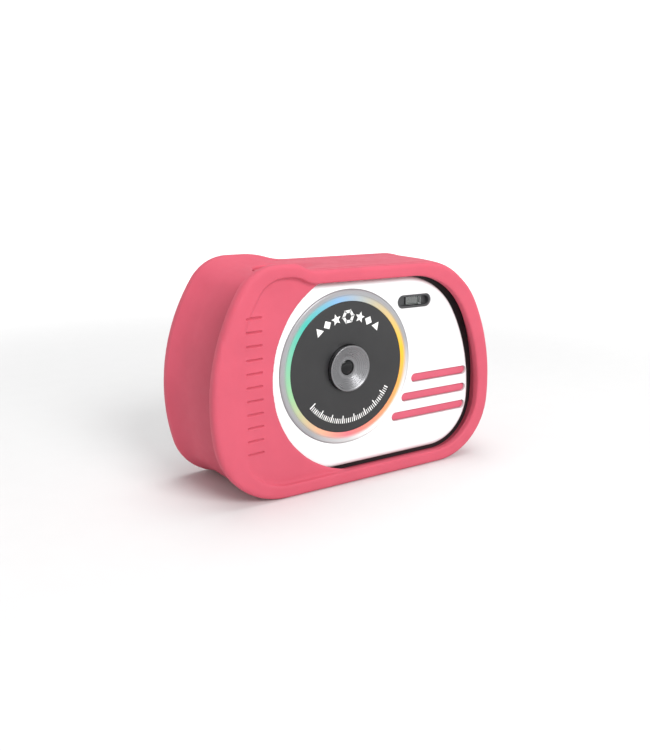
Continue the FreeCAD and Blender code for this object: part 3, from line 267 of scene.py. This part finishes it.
ROSE, PEACH = linear(235, 120, 130), linear(230, 170, 140)
LEAF, TEAL = linear(150, 200, 150), linear(70, 185, 170)
SKY, SAND = linear(130, 175, 215), linear(190, 180, 150)
GOLD, ORANGE = linear(245, 190, 35), linear(240, 155, 105)
# where each hue lies round the lens, as a part of a turn, clockwise from 6 o'clock
HUES = [(0, ROSE), (0.07, PEACH), (0.2, LEAF), (0.37, TEAL), (0.47, SKY), (0.58, SAND), (0.72, GOLD),
        (0.87, ORANGE), (1, ROSE)]


def hue_paint(name, start, end, silver):
    """Hues round the lens that fade into silver between two distances from its axis; the silver carries a
    painted reflection that is lighter or darker round the turn.
    """
    paint = Paint(name, linear(120, 190, 160), 0.3, Metallic=0.15)
    distance, turn = paint.around(LENS)
    hues = paint.ramp(turn, HUES)
    # painted reflection on the silver, set by the turn round the lens
    painted_reflection = paint.ramp(turn, silver)
    second, result = paint.blended(paint.remapped(distance, start, end, kind="SMOOTHSTEP"), hues)
    paint.link(painted_reflection, second)
    paint.link(result, paint.shader.inputs["Base Color"])
    paint.sheen_of(paint.noise(3 * MM, 2.0), 0.3, 0.36)
    paint.bump(paint.noise(2 * MM, 2.0), 0.0015 * MM)
    return paint


# silver round the lens: steel grey with a painted reflection, a lighter grey at 6 o'clock and a painted
# highlight at the lower right
STEEL_GREY, PAINTED_REFLECTION_GREY, PAINTED_HIGHLIGHT_GREY = linear(155, 155, 158), linear(200, 200, 200), linear(250, 248, 245)
SILVER_PAINTED_REFLECTION = [(0, PAINTED_REFLECTION_GREY), (0.1, STEEL_GREY), (0.7, STEEL_GREY), (0.86, PAINTED_HIGHLIGHT_GREY), (0.93, PAINTED_HIGHLIGHT_GREY),
         (1, PAINTED_REFLECTION_GREY)]
for ring_slot in ("rainbow", "silver_ring"):
    paints[ring_slot] = hue_paint(ring_slot, DISC_R * 1.05, DISC_R * 1.125, SILVER_PAINTED_REFLECTION)

spun = Paint("spun_metal", linear(132, 132, 134), 0.3, Metallic=1.0, Anisotropic=0.7)
spun.sheen_of(spun.noise(3 * MM, 2.0), 0.26, 0.32)
spun.bump(spun.noise(4 * MM, 1.0), 0.004 * MM)
tangent = spun.node("ShaderNodeTangent", direction_type="RADIAL", axis="Y")
spun.link(tangent.outputs[0], spun.shader.inputs["Tangent"])
paints["spun_metal"] = spun

white_ink = plain_paint("white_ink", linear(244, 244, 242), 0.35, 0.5, 0.1 * MM, 0.002 * MM, 0.02)
grey_ink = plain_paint("grey_ink", linear(92, 94, 100), 0.4, 0.5, 0.1 * MM, 0.002 * MM, 0.02)
black_ink = plain_paint("black_ink", linear(14, 14, 16), 0.2, 0.3, 0.3 * MM, 0.002 * MM, 0.05)


# ---------------------------------------------------------------- mesh helpers

def finish_mesh(name, mesh, paint, body=BODY, sharp=40):
    mesh.shade_smooth()
    mesh.set_sharp_from_angle(angle=math.radians(sharp))
    piece = bpy.data.objects.new(name, mesh)
    scene.collection.objects.link(piece)
    mesh.materials.append(paint.material)
    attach(piece, body)
    return piece


def built(name, points, faces, paint, slot, body=BODY, sharp=40):
    """A piece from points and faces in the row frame."""
    mesh = bpy.data.meshes.new(name)
    mesh.from_pydata([tuple(point) for point in points], [], faces)
    work = bmesh.new()
    work.from_mesh(mesh)
    bmesh.ops.recalc_face_normals(work, faces=work.faces)
    work.to_mesh(mesh)
    work.free()
    return finish_mesh(name, mesh, paint, body, sharp)


def rounded(corners, closed=True, steps=6):
    """Points (a, b, radius) with each corner turned into an arc of that radius."""
    out = []
    count = len(corners)
    for i, (a, b, radius) in enumerate(corners):
        here = Vector((a, b))
        if radius <= 0 or (not closed and i in (0, count - 1)):
            out.append((a, b))
            continue
        before = Vector(corners[i - 1][:2]) - here
        after = Vector(corners[(i + 1) % count][:2]) - here
        half = before.angle(after) / 2
        reach = min(radius / math.tan(half), before.length * 0.499, after.length * 0.499)
        size = reach * math.tan(half)
        middle = here + (before.normalized() + after.normalized()).normalized() * (size / math.sin(half))
        first = here + before.normalized() * reach - middle
        last = here + after.normalized() * reach - middle
        sweep = first.angle_signed(last)
        for step in range(steps + 1):
            turn = Matrix.Rotation(-sweep * step / steps, 2)
            out.append(tuple(middle + turn @ first))
    return out


def turned(name, profile, paint, slot, closed=True, segments=192, sharp=40):
    """A piece turned about the lens axis; profile is (radius, y) in metres."""
    points = []
    rings = []
    for radius, y in profile:
        if radius < 1e-7:
            rings.append([len(points)])
            points.append((LENS.x, y, LENS.z))
            continue
        rings.append(list(range(len(points), len(points) + segments)))
        for k in range(segments):
            angle = 2 * math.pi * k / segments
            points.append((LENS.x + radius * math.sin(angle), y, LENS.z + radius * math.cos(angle)))
    pairs = list(zip(rings, rings[1:] + rings[:1])) if closed else list(zip(rings, rings[1:]))
    faces = []
    for here, there in pairs:
        for k in range(segments):
            n = (k + 1) % segments
            if len(here) == 1:
                faces.append((here[0], there[k], there[n]))
            elif len(there) == 1:
                faces.append((here[k], there[0], here[n]))
            else:
                faces.append((here[k], there[k], there[n], here[n]))
    return built(name, points, faces, paint, slot, sharp=sharp)


def stacked(loops):
    """Points and faces of a closed solid through equal-length loops, capped at both ends."""
    count = len(loops[0])
    points = [point for loop in loops for point in loop]
    faces = [tuple(range(count))]
    for level in range(len(loops) - 1):
        start = level * count
        for k in range(count):
            n = (k + 1) % count
            faces.append((start + k, start + n, start + count + n, start + count + k))
    faces.append(tuple(range(len(points) - count, len(points))))
    return points, faces


def merged(parts):
    """Several (points, faces) as one."""
    points, faces = [], []
    for some_points, some_faces in parts:
        base = len(points)
        points += some_points
        faces += [tuple(base + i for i in face) for face in some_faces]
    return points, faces


def slab(outline, front, rear):
    """A thin solid from an outline of (x, z) points between two y levels."""
    return stacked([[(x, y, z) for x, z in outline] for y in (front, rear)])


def slot_outline(left, right, z, radius, steps=16):
    """A level slot with round ends."""
    out = []
    for x, start in ((right - radius, -90), (left + radius, 90)):
        for k in range(steps + 1):
            angle = math.radians(start + 180 * k / steps)
            out.append((x + radius * math.cos(angle), z + radius * math.sin(angle)))
    return out


def box_outline(left, right, low, high, radius, steps=8):
    out = []
    for x, z, start in ((right - radius, low + radius, -90), (right - radius, high - radius, 0),
                        (left + radius, high - radius, 90), (left + radius, low + radius, 180)):
        for k in range(steps + 1):
            angle = math.radians(start + 90 * k / steps)
            out.append((x + radius * math.cos(angle), z + radius * math.sin(angle)))
    return out


def round_top(depth, radius, steps=5):
    """(inset, rise) pairs of a rounded edge that ends at depth."""
    out = []
    for k in range(steps + 1):
        angle = math.radians(90 * k / steps)
        out.append((radius * (1 - math.cos(angle)), depth - radius * (1 - math.sin(angle))))
    return out


# ---------------------------------------------------------------- the sleeve

def soft_copy(node, voxel):
    """The node's solid as an even skin of small quads."""
    mesh = nodes[node].data.copy()
    work = bmesh.new()
    work.from_mesh(mesh)
    bmesh.ops.remove_doubles(work, verts=work.verts, dist=1e-7)
    work.to_mesh(mesh)
    work.free()
    temporary = bpy.data.objects.new("remesh_source", mesh)
    scene.collection.objects.link(temporary)
    remesh = temporary.modifiers.new("remesh", "REMESH")
    remesh.mode = "VOXEL"
    remesh.voxel_size = voxel
    graph = bpy.context.evaluated_depsgraph_get()
    skin = bpy.data.meshes.new_from_object(temporary.evaluated_get(graph))
    bpy.data.objects.remove(temporary)
    return skin


def relax(points, edges, weight, rounds):
    """Moves each point towards the mean of its neighbours."""
    a, b = edges[:, 0], edges[:, 1]
    count = len(points)
    degree = np.bincount(np.concatenate((a, b)), minlength=count)
    for _ in range(rounds):
        total = np.empty_like(points)
        for k in range(3):
            total[:, k] = np.bincount(a, points[b, k], count) + np.bincount(b, points[a, k], count)
        points = points + weight[:, None] * (total / degree[:, None] - points)
    return points


def step_up(values, low, high):
    t = np.clip((values - low) / (high - low), 0, 1)
    return t * t * (3 - 2 * t)


def finer(skin, chosen, cuts):
    """Splits the chosen faces into smaller ones."""
    work = bmesh.new()
    work.from_mesh(skin)
    work.faces.ensure_lookup_table()
    edges = list(dict.fromkeys(edge for i in chosen for edge in work.faces[i].edges))
    bmesh.ops.subdivide_edges(work, edges=edges, cuts=cuts, use_grid_fill=True)
    work.to_mesh(skin)
    work.free()


def read_points(skin):
    points = np.empty(len(skin.vertices) * 3, np.float32)
    skin.vertices.foreach_get("co", points)
    return points.reshape(-1, 3).astype(float)


def write_points(skin, points):
    skin.vertices.foreach_set("co", points.astype(np.float32).ravel())
    skin.update()


def path_distance(x, z, paths):
    """Distance in the front plane from the nearest of several polylines."""
    best = np.full(len(x), 1.0)
    for path in paths:
        for (ax, az), (bx, bz) in zip(path, path[1:]):
            dx, dz = bx - ax, bz - az
            t = np.clip(((x - ax) * dx + (z - az) * dz) / (dx * dx + dz * dz), 0, 1)
            best = np.minimum(best, np.hypot(x - ax - t * dx, z - az - t * dz))
    return best


def grip_lines():
    """Centre lines of the grooves in the grip panel: level, all alike and evenly spaced."""
    left, right, lowest, pitch, count = -37.8 * MM, -33.4 * MM, 14.6 * MM, 3.6 * MM, 11
    return [((left, lowest + pitch * k), (right, lowest + pitch * k)) for k in range(count)]


VOXEL = 0.3 * MM
PATTERN_LIFT, PATTERN_DEPTH, TOP_GROOVE = 0.12 * MM, 0.6 * MM, 0.75 * MM


def make_sleeve():
    """The CAD sleeve as an even, relaxed skin with the grip grooves and the groove along its top."""
    skin = soft_copy("silicone_sleeve", VOXEL)
    edges = np.empty(len(skin.edges) * 2, np.int32)
    skin.edges.foreach_get("vertices", edges)
    points = read_points(skin)
    front = cad_low.y
    points = relax(points, edges.reshape(-1, 2), np.full(len(points), 0.5), 5)
    x, y, z = points.T
    # the panel runs out into the rim on the left without a step
    runout = (y < front + 2 * MM) * step_up(-x, 37.5 * MM, 39.5 * MM) * step_up(z, 6 * MM, 12 * MM)
    runout *= (1 - step_up(z, 50 * MM, 56 * MM)) * (1 - step_up(-x, 44 * MM, 45 * MM))
    points = relax(points, edges.reshape(-1, 2), 0.5 * runout, 40)
    write_points(skin, points)
    centres = np.empty(len(skin.polygons) * 3, np.float32)
    skin.polygons.foreach_get("center", centres)
    centres = centres.reshape(-1, 3)
    panel = (centres[:, 1] < front + 2.2 * MM) & (centres[:, 0] > -40 * MM) & (centres[:, 0] < -31 * MM)
    panel &= (centres[:, 2] > 5.5 * MM) & (centres[:, 2] < 57.5 * MM)
    finer(skin, np.nonzero(panel)[0].tolist(), 3)

    points = read_points(skin)
    x, y, z = points.T
    raised = (y < front + 2.2 * MM) & (x > -42 * MM) & (x < -28 * MM)
    distance = path_distance(x, z, grip_lines())
    lift = np.exp(-(distance / (0.7 * MM)) ** 2)
    ditch = np.exp(-(distance / (0.24 * MM)) ** 2)
    points[:, 1] += np.where(raised, PATTERN_DEPTH * ditch - PATTERN_LIFT * lift, 0)
    # a shallow groove along the top, behind the front rim
    on_top = z > 58 * MM
    along = step_up(x, -24 * MM, -14 * MM) * (1 - step_up(x, 20 * MM, 30 * MM))
    groove = np.exp(-((y - front - 3.6 * MM) / (0.34 * MM)) ** 2)
    points[:, 2] -= np.where(on_top, TOP_GROOVE * groove * along, 0)
    write_points(skin, points)
    skin.materials.clear()
    piece = finish_mesh("sleeve", skin, silicone, sharp=180)
    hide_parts("silicone_sleeve")


make_sleeve()


# ---------------------------------------------------------------- lens badge

def y_of(level):
    """A y level given in millimetres in front of the face."""
    return FACE - level * MM


ring_low, ring_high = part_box("lens_ring")
RING_R = (ring_high.x - ring_low.x) / 2
rain_low, rain_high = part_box("rainbow_ring")
RAIN_R = (rain_high.x - rain_low.x) / 2
cone_low, cone_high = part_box("lens_cone")
CONE_R = (cone_high.x - cone_low.x) / 2
glass_low, glass_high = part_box("front_glass")
EYE_R = (glass_high.x - glass_low.x) / 2
SEAT = disc_high.y

ring = turned("badge_ring", rounded([
    (DISC_R + 0.1 * MM, SEAT, 0.05 * MM), (RING_R, SEAT, 0.05 * MM), (RING_R, y_of(0.1), 0.45 * MM),
    (RING_R - 0.45 * MM, y_of(0.3), 0.5 * MM), (RAIN_R + 0.02 * MM, y_of(0.3), 0.06 * MM),
    (RAIN_R + 0.02 * MM, y_of(-0.6), 0.05 * MM), (DISC_R + 0.1 * MM, y_of(-0.6), 0.05 * MM)]),
    paints["silver_ring"], "silver_ring")
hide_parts("lens_ring")
rainbow = turned("hue_ring", rounded([
    (DISC_R + 0.06 * MM, y_of(-0.55), 0.05 * MM), (RAIN_R, y_of(-0.55), 0.05 * MM),
    (RAIN_R, y_of(0.3), 0.04 * MM), (DISC_R + 0.06 * MM, y_of(0.3), 0.08 * MM)]),
    paints["rainbow"], "rainbow")
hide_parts("rainbow_ring")
disc = turned("badge_disc", rounded([
    (CONE_R + 0.05 * MM, SEAT, 0.05 * MM), (DISC_R, SEAT, 0.05 * MM), (DISC_R, y_of(0.3), 0.14 * MM),
    (CONE_R + 0.05 * MM, y_of(0.3), 0.1 * MM)]), paints["disc_black"], "disc_black")
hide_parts("lens_disc")

# the spun cone: a wall, a thin crest and a grooved dish down to the eye
crest = cone_low.y
dish_outer = CONE_R - 0.4 * MM
dish_inner = EYE_R + 0.75 * MM
dish_floor = y_of(0.1)
grooves = 7
dish = []
for step in range(grooves * 4 + 1):
    t = step / (grooves * 4)
    cut = (0.12 * MM) * (1, 0.5, 0, 0.5)[step % 4] * (0 < step < grooves * 4)
    dish.append((dish_outer + (dish_inner - dish_outer) * t, crest + (dish_floor - crest) * t + cut))
cone = turned("spun_cone", rounded([
    (EYE_R + 0.05 * MM, y_of(-0.9), 0), (CONE_R - 1.6 * MM, y_of(-0.9), 0), (CONE_R - 1.6 * MM, SEAT, 0),
    (CONE_R, SEAT, 0.05 * MM), (CONE_R, crest, 0.2 * MM)], closed=False)[:-1] + rounded([
        (CONE_R, crest + 1 * MM, 0), (CONE_R, crest, 0.16 * MM), (dish_outer, crest, 0.05 * MM),
        dish[-1] + (0,)], closed=False)[1:-1] + dish[1:] + [
            (EYE_R + 0.35 * MM, y_of(0.1)), (EYE_R + 0.3 * MM, y_of(0.16)), (EYE_R + 0.1 * MM, y_of(0.16)),
            (EYE_R + 0.05 * MM, y_of(0.1))],
    paints["spun_metal"], "spun_metal", sharp=50)
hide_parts("lens_cone")

eye = [(0, y_of(-0.9)), (EYE_R, y_of(-0.9)), (EYE_R, y_of(-0.1))]
for step in range(1, 13):
    angle = math.radians(90 * step / 12)
    eye.append((EYE_R * math.cos(angle) * 0.96, y_of(-0.1 + 0.4 * math.sin(angle))))
eye[-1] = (0, y_of(0.3))
eye_paint = plain_paint("eye_dark", linear(10, 11, 13), 0.03, 0.06, 3 * MM, 0.001 * MM, 0.2, IOR=1.38)
dome = turned("eye_glass", eye, eye_paint, "clear_glass", closed=False, segments=96)
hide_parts("front_glass")


# ---------------------------------------------------------------- marks on the disc

def polar(radius, degrees):
    """Point at a clockwise angle from 12 o'clock."""
    angle = math.radians(degrees)
    return LENS.x + radius * math.sin(angle), LENS.z + radius * math.cos(angle)


def swung(outline, degrees):
    """An outline turned clockwise about its origin."""
    angle = math.radians(degrees)
    return [(a * math.cos(angle) + b * math.sin(angle), -a * math.sin(angle) + b * math.cos(angle))
            for a, b in outline]


def spun_outline(outline, radius, degrees, size):
    """An outline of unit size, set upright on a circle round the lens."""
    x, z = polar(radius, degrees)
    return [(x + size * a, z + size * b) for a, b in swung(outline, degrees)]


def regular(sides):
    """A regular outline of unit radius with a corner at the top."""
    angles = [math.radians(360 * k / sides) for k in range(sides)]
    return [(math.sin(angle), math.cos(angle)) for angle in angles]


INK_FRONT = LENS_FRONT - 0.03 * MM
INK_REAR = LENS_FRONT + 0.02 * MM
star = [(r * math.sin(math.radians(a)), r * math.cos(math.radians(a)))
        for a, r in ((36 * k, 1.15 if k % 2 == 0 else 0.52) for k in range(10))]
MARKS_R = DISC_R * 0.775
BLADE = [(0.35, 1.0), (0.98, 0.1), (0.62, -0.1), (0.18, 0.62)]
TICKS, TICK_PITCH, FIRST_TICK = 46, 2.5, 231
TICK_TOP = DISC_R * 0.865
ink = []
# a six-blade shutter sign in the middle
for blade in range(6):
    ink.append(slab(spun_outline(swung(BLADE, 60 * blade), MARKS_R, 0, 2.05 * MM), INK_FRONT, INK_REAR))
# three plain shapes on each side of it, mirrored
for side in (-1, 1):
    for k, (outline, size) in enumerate(((star, 1.4), (regular(4), 1.3), (regular(3), 1.45))):
        place = side * (16 + 12.5 * k)
        ink.append(slab(spun_outline(outline, MARKS_R, place, size * MM), INK_FRONT, INK_REAR))
# a fine dial along the lower edge
for k in range(TICKS):
    degrees = FIRST_TICK - TICK_PITCH * k
    tick_foot = DISC_R * (0.745 if k % 6 == 0 else 0.79)
    half = 0.62 if k % 3 == 0 else 0.4
    ink.append(slab([polar(tick_foot, degrees - half), polar(TICK_TOP, degrees - half),
                     polar(TICK_TOP, degrees + half), polar(tick_foot, degrees + half)],
                    INK_FRONT, INK_REAR))
built("disc_marks", *merged(ink), white_ink, "white_plastic", sharp=30)


# ---------------------------------------------------------------- stripes

for name in ("lower_stripe", "middle_stripe", "upper_stripe"):
    low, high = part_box(name)
    radius = (high.z - low.z) / 2
    middle = (high.z + low.z) / 2
    loops = [[(x, high.y, z) for x, z in slot_outline(low.x, high.x, middle, radius)]]
    for inset, rise in round_top(high.y - low.y, 0.55 * MM):
        loops.append([(x, high.y - rise, z) for x, z in
                      slot_outline(low.x + inset, high.x - inset, middle, radius - inset)])
    bar = built(name + "_bar", *stacked(loops), paints["pink_plastic"], "pink_plastic")
    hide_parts(name)


# ---------------------------------------------------------------- details on the back, side and base

def rear_print(outline, node):
    """A printed sign on the rear face of a node."""
    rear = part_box(node)[1].y
    return slab(outline, rear - 0.03 * MM, rear + 0.06 * MM)


def band(x, z, inner, outer, start, sweep, steps=24):
    """Part of a flat ring; angles run clockwise from 12 o'clock."""
    out = []
    for radius, order in ((outer, range(steps + 1)), (inner, range(steps, -1, -1))):
        for k in order:
            angle = math.radians(start + sweep * k / steps)
            out.append((x + radius * math.sin(angle), z + radius * math.cos(angle)))
    return out


def bar_sign(x, z, half_wide, half_high):
    return box_outline(x - half_wide, x + half_wide, z - half_high, z + half_high, 0.1 * MM, 3)


def regular_at(x, z, radius, sides):
    return [(x + a * radius, z + b * radius) for a, b in regular(sides)]


def key_signs():
    low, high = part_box("ok_button")
    pad = Vector(((low.x + high.x) / 2, 0, (low.z + high.z) / 2))
    arrow = [(-1.15, -0.65), (1.15, -0.65), (0, 0.95)]
    for name, turn in (("up_key", 0), ("right_key", 90), ("down_key", 180), ("left_key", -90)):
        angle = math.radians(turn)
        x = pad.x + 7.4 * MM * math.sin(angle)
        z = pad.z + 7.4 * MM * math.cos(angle)
        outline = [(x + MM * a, z + MM * b) for a, b in swung(arrow, turn)]
        built(name + "_sign", *rear_print(outline, name), grey_ink, "black_plastic", body=name)
    built("ok_button_sign", *rear_print(regular_at(pad.x, pad.z, 1.05 * MM, 32), "ok_button"), white_ink,
          "white_plastic", body="ok_button")
    for name in ("power_button", "menu_button", "play_button"):
        low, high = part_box(name)
        x, z = (low.x + high.x) / 2, (low.z + high.z) / 2
        if name == "power_button":
            parts = [rear_print(band(x, z, 0.85 * MM, 1.15 * MM, 35, 290), name),
                     rear_print(bar_sign(x, z + 0.85 * MM, 0.16 * MM, 0.6 * MM), name)]
        elif name == "menu_button":
            parts = [rear_print(bar_sign(x, z + step * MM, 1.15 * MM, 0.17 * MM), name)
                     for step in (-0.75, 0, 0.75)]
        else:
            parts = [rear_print([(x + 0.75 * MM, z + MM), (x - 1.05 * MM, z), (x + 0.75 * MM, z - MM)], name)]
        built(name + "_sign", *merged(parts), grey_ink, "black_plastic", body=name)


def framed(outer, inner, front, rear):
    """A flat frame between two outlines with the same number of points."""
    count = len(outer)
    points = [(x, y, z) for y in (front, rear) for outline in (outer, inner) for x, z in outline]
    faces = []
    for k in range(count):
        n = (k + 1) % count
        a, b, c, d = k, count + k, 2 * count + k, 3 * count + k
        e, f, g, h = n, count + n, 2 * count + n, 3 * count + n
        faces += [(a, e, f, b), (c, d, h, g), (a, c, g, e), (b, f, h, d)]
    return points, faces


def screen_frame():
    """The black border printed behind the screen's window."""
    low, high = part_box("screen_window")
    shown_low, shown_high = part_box("display_panel")
    inset = 0.25 * MM
    outer = box_outline(low.x + inset, high.x - inset, low.z + inset, high.z - inset, 3.75 * MM)
    edge = 2.6 * MM
    inner = box_outline(shown_low.x + edge, shown_high.x - edge, shown_low.z + edge, shown_high.z - edge,
                        0.6 * MM)
    built("screen_frame", *framed(outer, inner, low.y - 0.07 * MM, low.y - 0.02 * MM), black_ink,
          "black_plastic", sharp=30)


def bush_thread():
    """Quarter inch thread, 20 turns per inch."""
    low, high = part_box("tripod_bush")
    x, y = (low.x + high.x) / 2, (low.y + high.y) / 2
    root, crest, pitch = 3.22 * MM, 2.68 * MM, 1.27 * MM
    steps = 36
    loops = []
    for k in range(int(5.4 * steps) + 1):
        angle = 2 * math.pi * k / steps
        z = low.z + 0.72 * MM + pitch * k / steps
        loops.append([(x + r * math.cos(angle), y + r * math.sin(angle), z + h * MM)
                      for r, h in ((root, -0.5), (crest, -0.1), (crest, 0.1), (root, 0.5))])
    built("bush_thread", *stacked(loops), paints["brass_bush"], "brass_bush", sharp=30)


door_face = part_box("port_door")[1].x


def door_ribs():
    """Raised ribs that give a fingernail a hold on the socket door."""
    low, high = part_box("port_door")
    middle = (low.z + high.z) / 2
    parts = []
    for k in range(4):
        y = low.y + (1.5 + 1.0 * k) * MM
        loops = []
        for inset, rise in [(0, 0)] + [(0.24 * MM * (1 - math.cos(math.radians(a))),
                                        0.12 * MM + 0.2 * MM * math.sin(math.radians(a)))
                                       for a in (0, 30, 60, 90)]:
            outline = box_outline(y - 0.27 * MM + inset, y + 0.27 * MM - inset, middle - 4.5 * MM + inset,
                                  middle + 4.5 * MM - inset, 0.26 * MM - inset + 0.005 * MM, 5)
            loops.append([(door_face - 0.05 * MM + rise, b, c) for b, c in outline])
        parts.append(stacked(loops))
    built("door_ribs", *merged(parts), paints["pink_plastic"], "pink_plastic", body="port_door", sharp=50)


key_signs()
screen_frame()
bush_thread()
door_ribs()


# ---------------------------------------------------------------- carried-over CAD nodes

# millimetres taken off the sharp edges of the outer nodes
BEVELLED = {"rear_shell": 0.2, "port_door": 0.1, "tripod_bush": 0.2, "power_button": 0.08,
            "menu_button": 0.08, "play_button": 0.08, "ok_button": 0.08}
bezel_grey = plain_paint("bezel_grey", linear(64, 64, 66), 0.3, 0.4, 0.2 * MM, 0.004 * MM, 0.05)
slot_of = {part["node"]: part["material_slot"] for part in frame["record"]["subparts"]}
for name, node in nodes.items():
    if node.hide_render:
        continue
    material = (bezel_grey if name == "flash_bezel" else paints[slot_of[name]]).material
    if not node.material_slots:
        node.data.materials.append(material)
    for holder in node.material_slots:
        holder.material = material
    node.data.shade_smooth()
    node.data.set_sharp_from_angle(angle=math.radians(28))
    if name in BEVELLED:
        weld = node.modifiers.new("weld", "WELD")
        weld.merge_threshold = 0.001 * MM
        bevel = node.modifiers.new("soft_edges", "BEVEL")
        bevel.width = BEVELLED[name] * MM
        bevel.segments = 2
        bevel.limit_method = "ANGLE"
        bevel.angle_limit = math.radians(40)


# ---------------------------------------------------------------- floor, light and camera

def make_floor():
    """Paper, level round the camera and curving up far away from it."""
    profile = [(0.0, 0.0), (0.2, 0.0), (0.5, 0.0), (1.0, 0.0), (2.0, 0.0)]
    for step in range(1, 9):
        angle = math.radians(90 * step / 8)
        profile.append((2.0 + 0.8 * math.sin(angle), 0.8 * (1 - math.cos(angle))))
    segments = 96
    points = [(0, 0, 0)]
    for radius, z in profile[1:]:
        for k in range(segments):
            angle = 2 * math.pi * k / segments
            points.append((radius * math.cos(angle), radius * math.sin(angle), z))
    faces = [(0, 1 + k, 1 + (k + 1) % segments) for k in range(segments)]
    for ring_start in range(1, 1 + segments * (len(profile) - 2), segments):
        for k in range(segments):
            n = (k + 1) % segments
            faces.append((ring_start + k, ring_start + segments + k, ring_start + segments + n,
                          ring_start + n))
    mesh = bpy.data.meshes.new("floor")
    mesh.from_pydata(points, [], faces)
    mesh.shade_smooth()
    floor = bpy.data.objects.new("floor", mesh)
    scene.collection.objects.link(floor)
    paint = plain_paint("floor_paper", (0.74, 0.74, 0.74, 1), 0.75, 0.85, 0.6 * MM, 0.01 * MM, 0.004,
                        Emission_Color=(1, 1, 1, 1), Specular_IOR_Level=0.1)
    # far paper, which the lamps hardly reach, shines a little by itself
    length = paint.node("ShaderNodeVectorMath", operation="LENGTH")
    paint.link(paint.place, length.inputs[0])
    glow = paint.remapped(length.outputs["Value"], 0.16, 0.6, 0.0, 0.62, kind="SMOOTHSTEP")
    paint.link(glow, paint.shader.inputs["Emission Strength"])
    mesh.materials.append(paint.material)


def soft_light(name, place, aim, size, power):
    data = bpy.data.lights.new(name, "AREA")
    data.shape = "DISK"
    data.size = size
    data.energy = power
    lamp = bpy.data.objects.new(name, data)
    scene.collection.objects.link(lamp)
    lamp.location = place
    lamp.rotation_mode = "QUATERNION"
    lamp.rotation_quaternion = (Vector(aim) - Vector(place)).to_track_quat("-Z", "Y")


make_floor()
target = (LENS.x, 0, LENS.z)
soft_light("key", (0.02, -0.85, 0.6), target, 0.5, 7.0)
soft_light("top", (0.1, 0.05, 0.95), target, 0.8, 5.0)

world = bpy.data.worlds.new("studio")
scene.world = world
world.use_nodes = True
background = world.node_tree.nodes["Background"]
background.inputs["Color"].default_value = (1, 1, 1, 1)
background.inputs["Strength"].default_value = 0.5

camera = bpy.data.cameras.new("camera")
camera.lens = 37.9
camera.sensor_width = 36.0
eye_point = bpy.data.objects.new("camera", camera)
scene.collection.objects.link(eye_point)
# the camera's place, in radii of the lens disc from its middle
badge = Vector((LENS.x, FACE, LENS.z))
eye_point.location = badge + DISC_R * Vector((-6.632, -9.442, 2.717))
azimuth, elevation, roll = (math.radians(angle) for angle in (-33.43, 13.81, 0.116))
back = Vector((math.sin(azimuth) * math.cos(elevation), -math.cos(azimuth) * math.cos(elevation),
               math.sin(elevation)))
eye_point.rotation_mode = "QUATERNION"
eye_point.rotation_quaternion = Quaternion(back, roll) @ (-back).to_track_quat("-Z", "Y")
camera.clip_start = 0.01
camera.clip_end = 20
scene.camera = eye_point
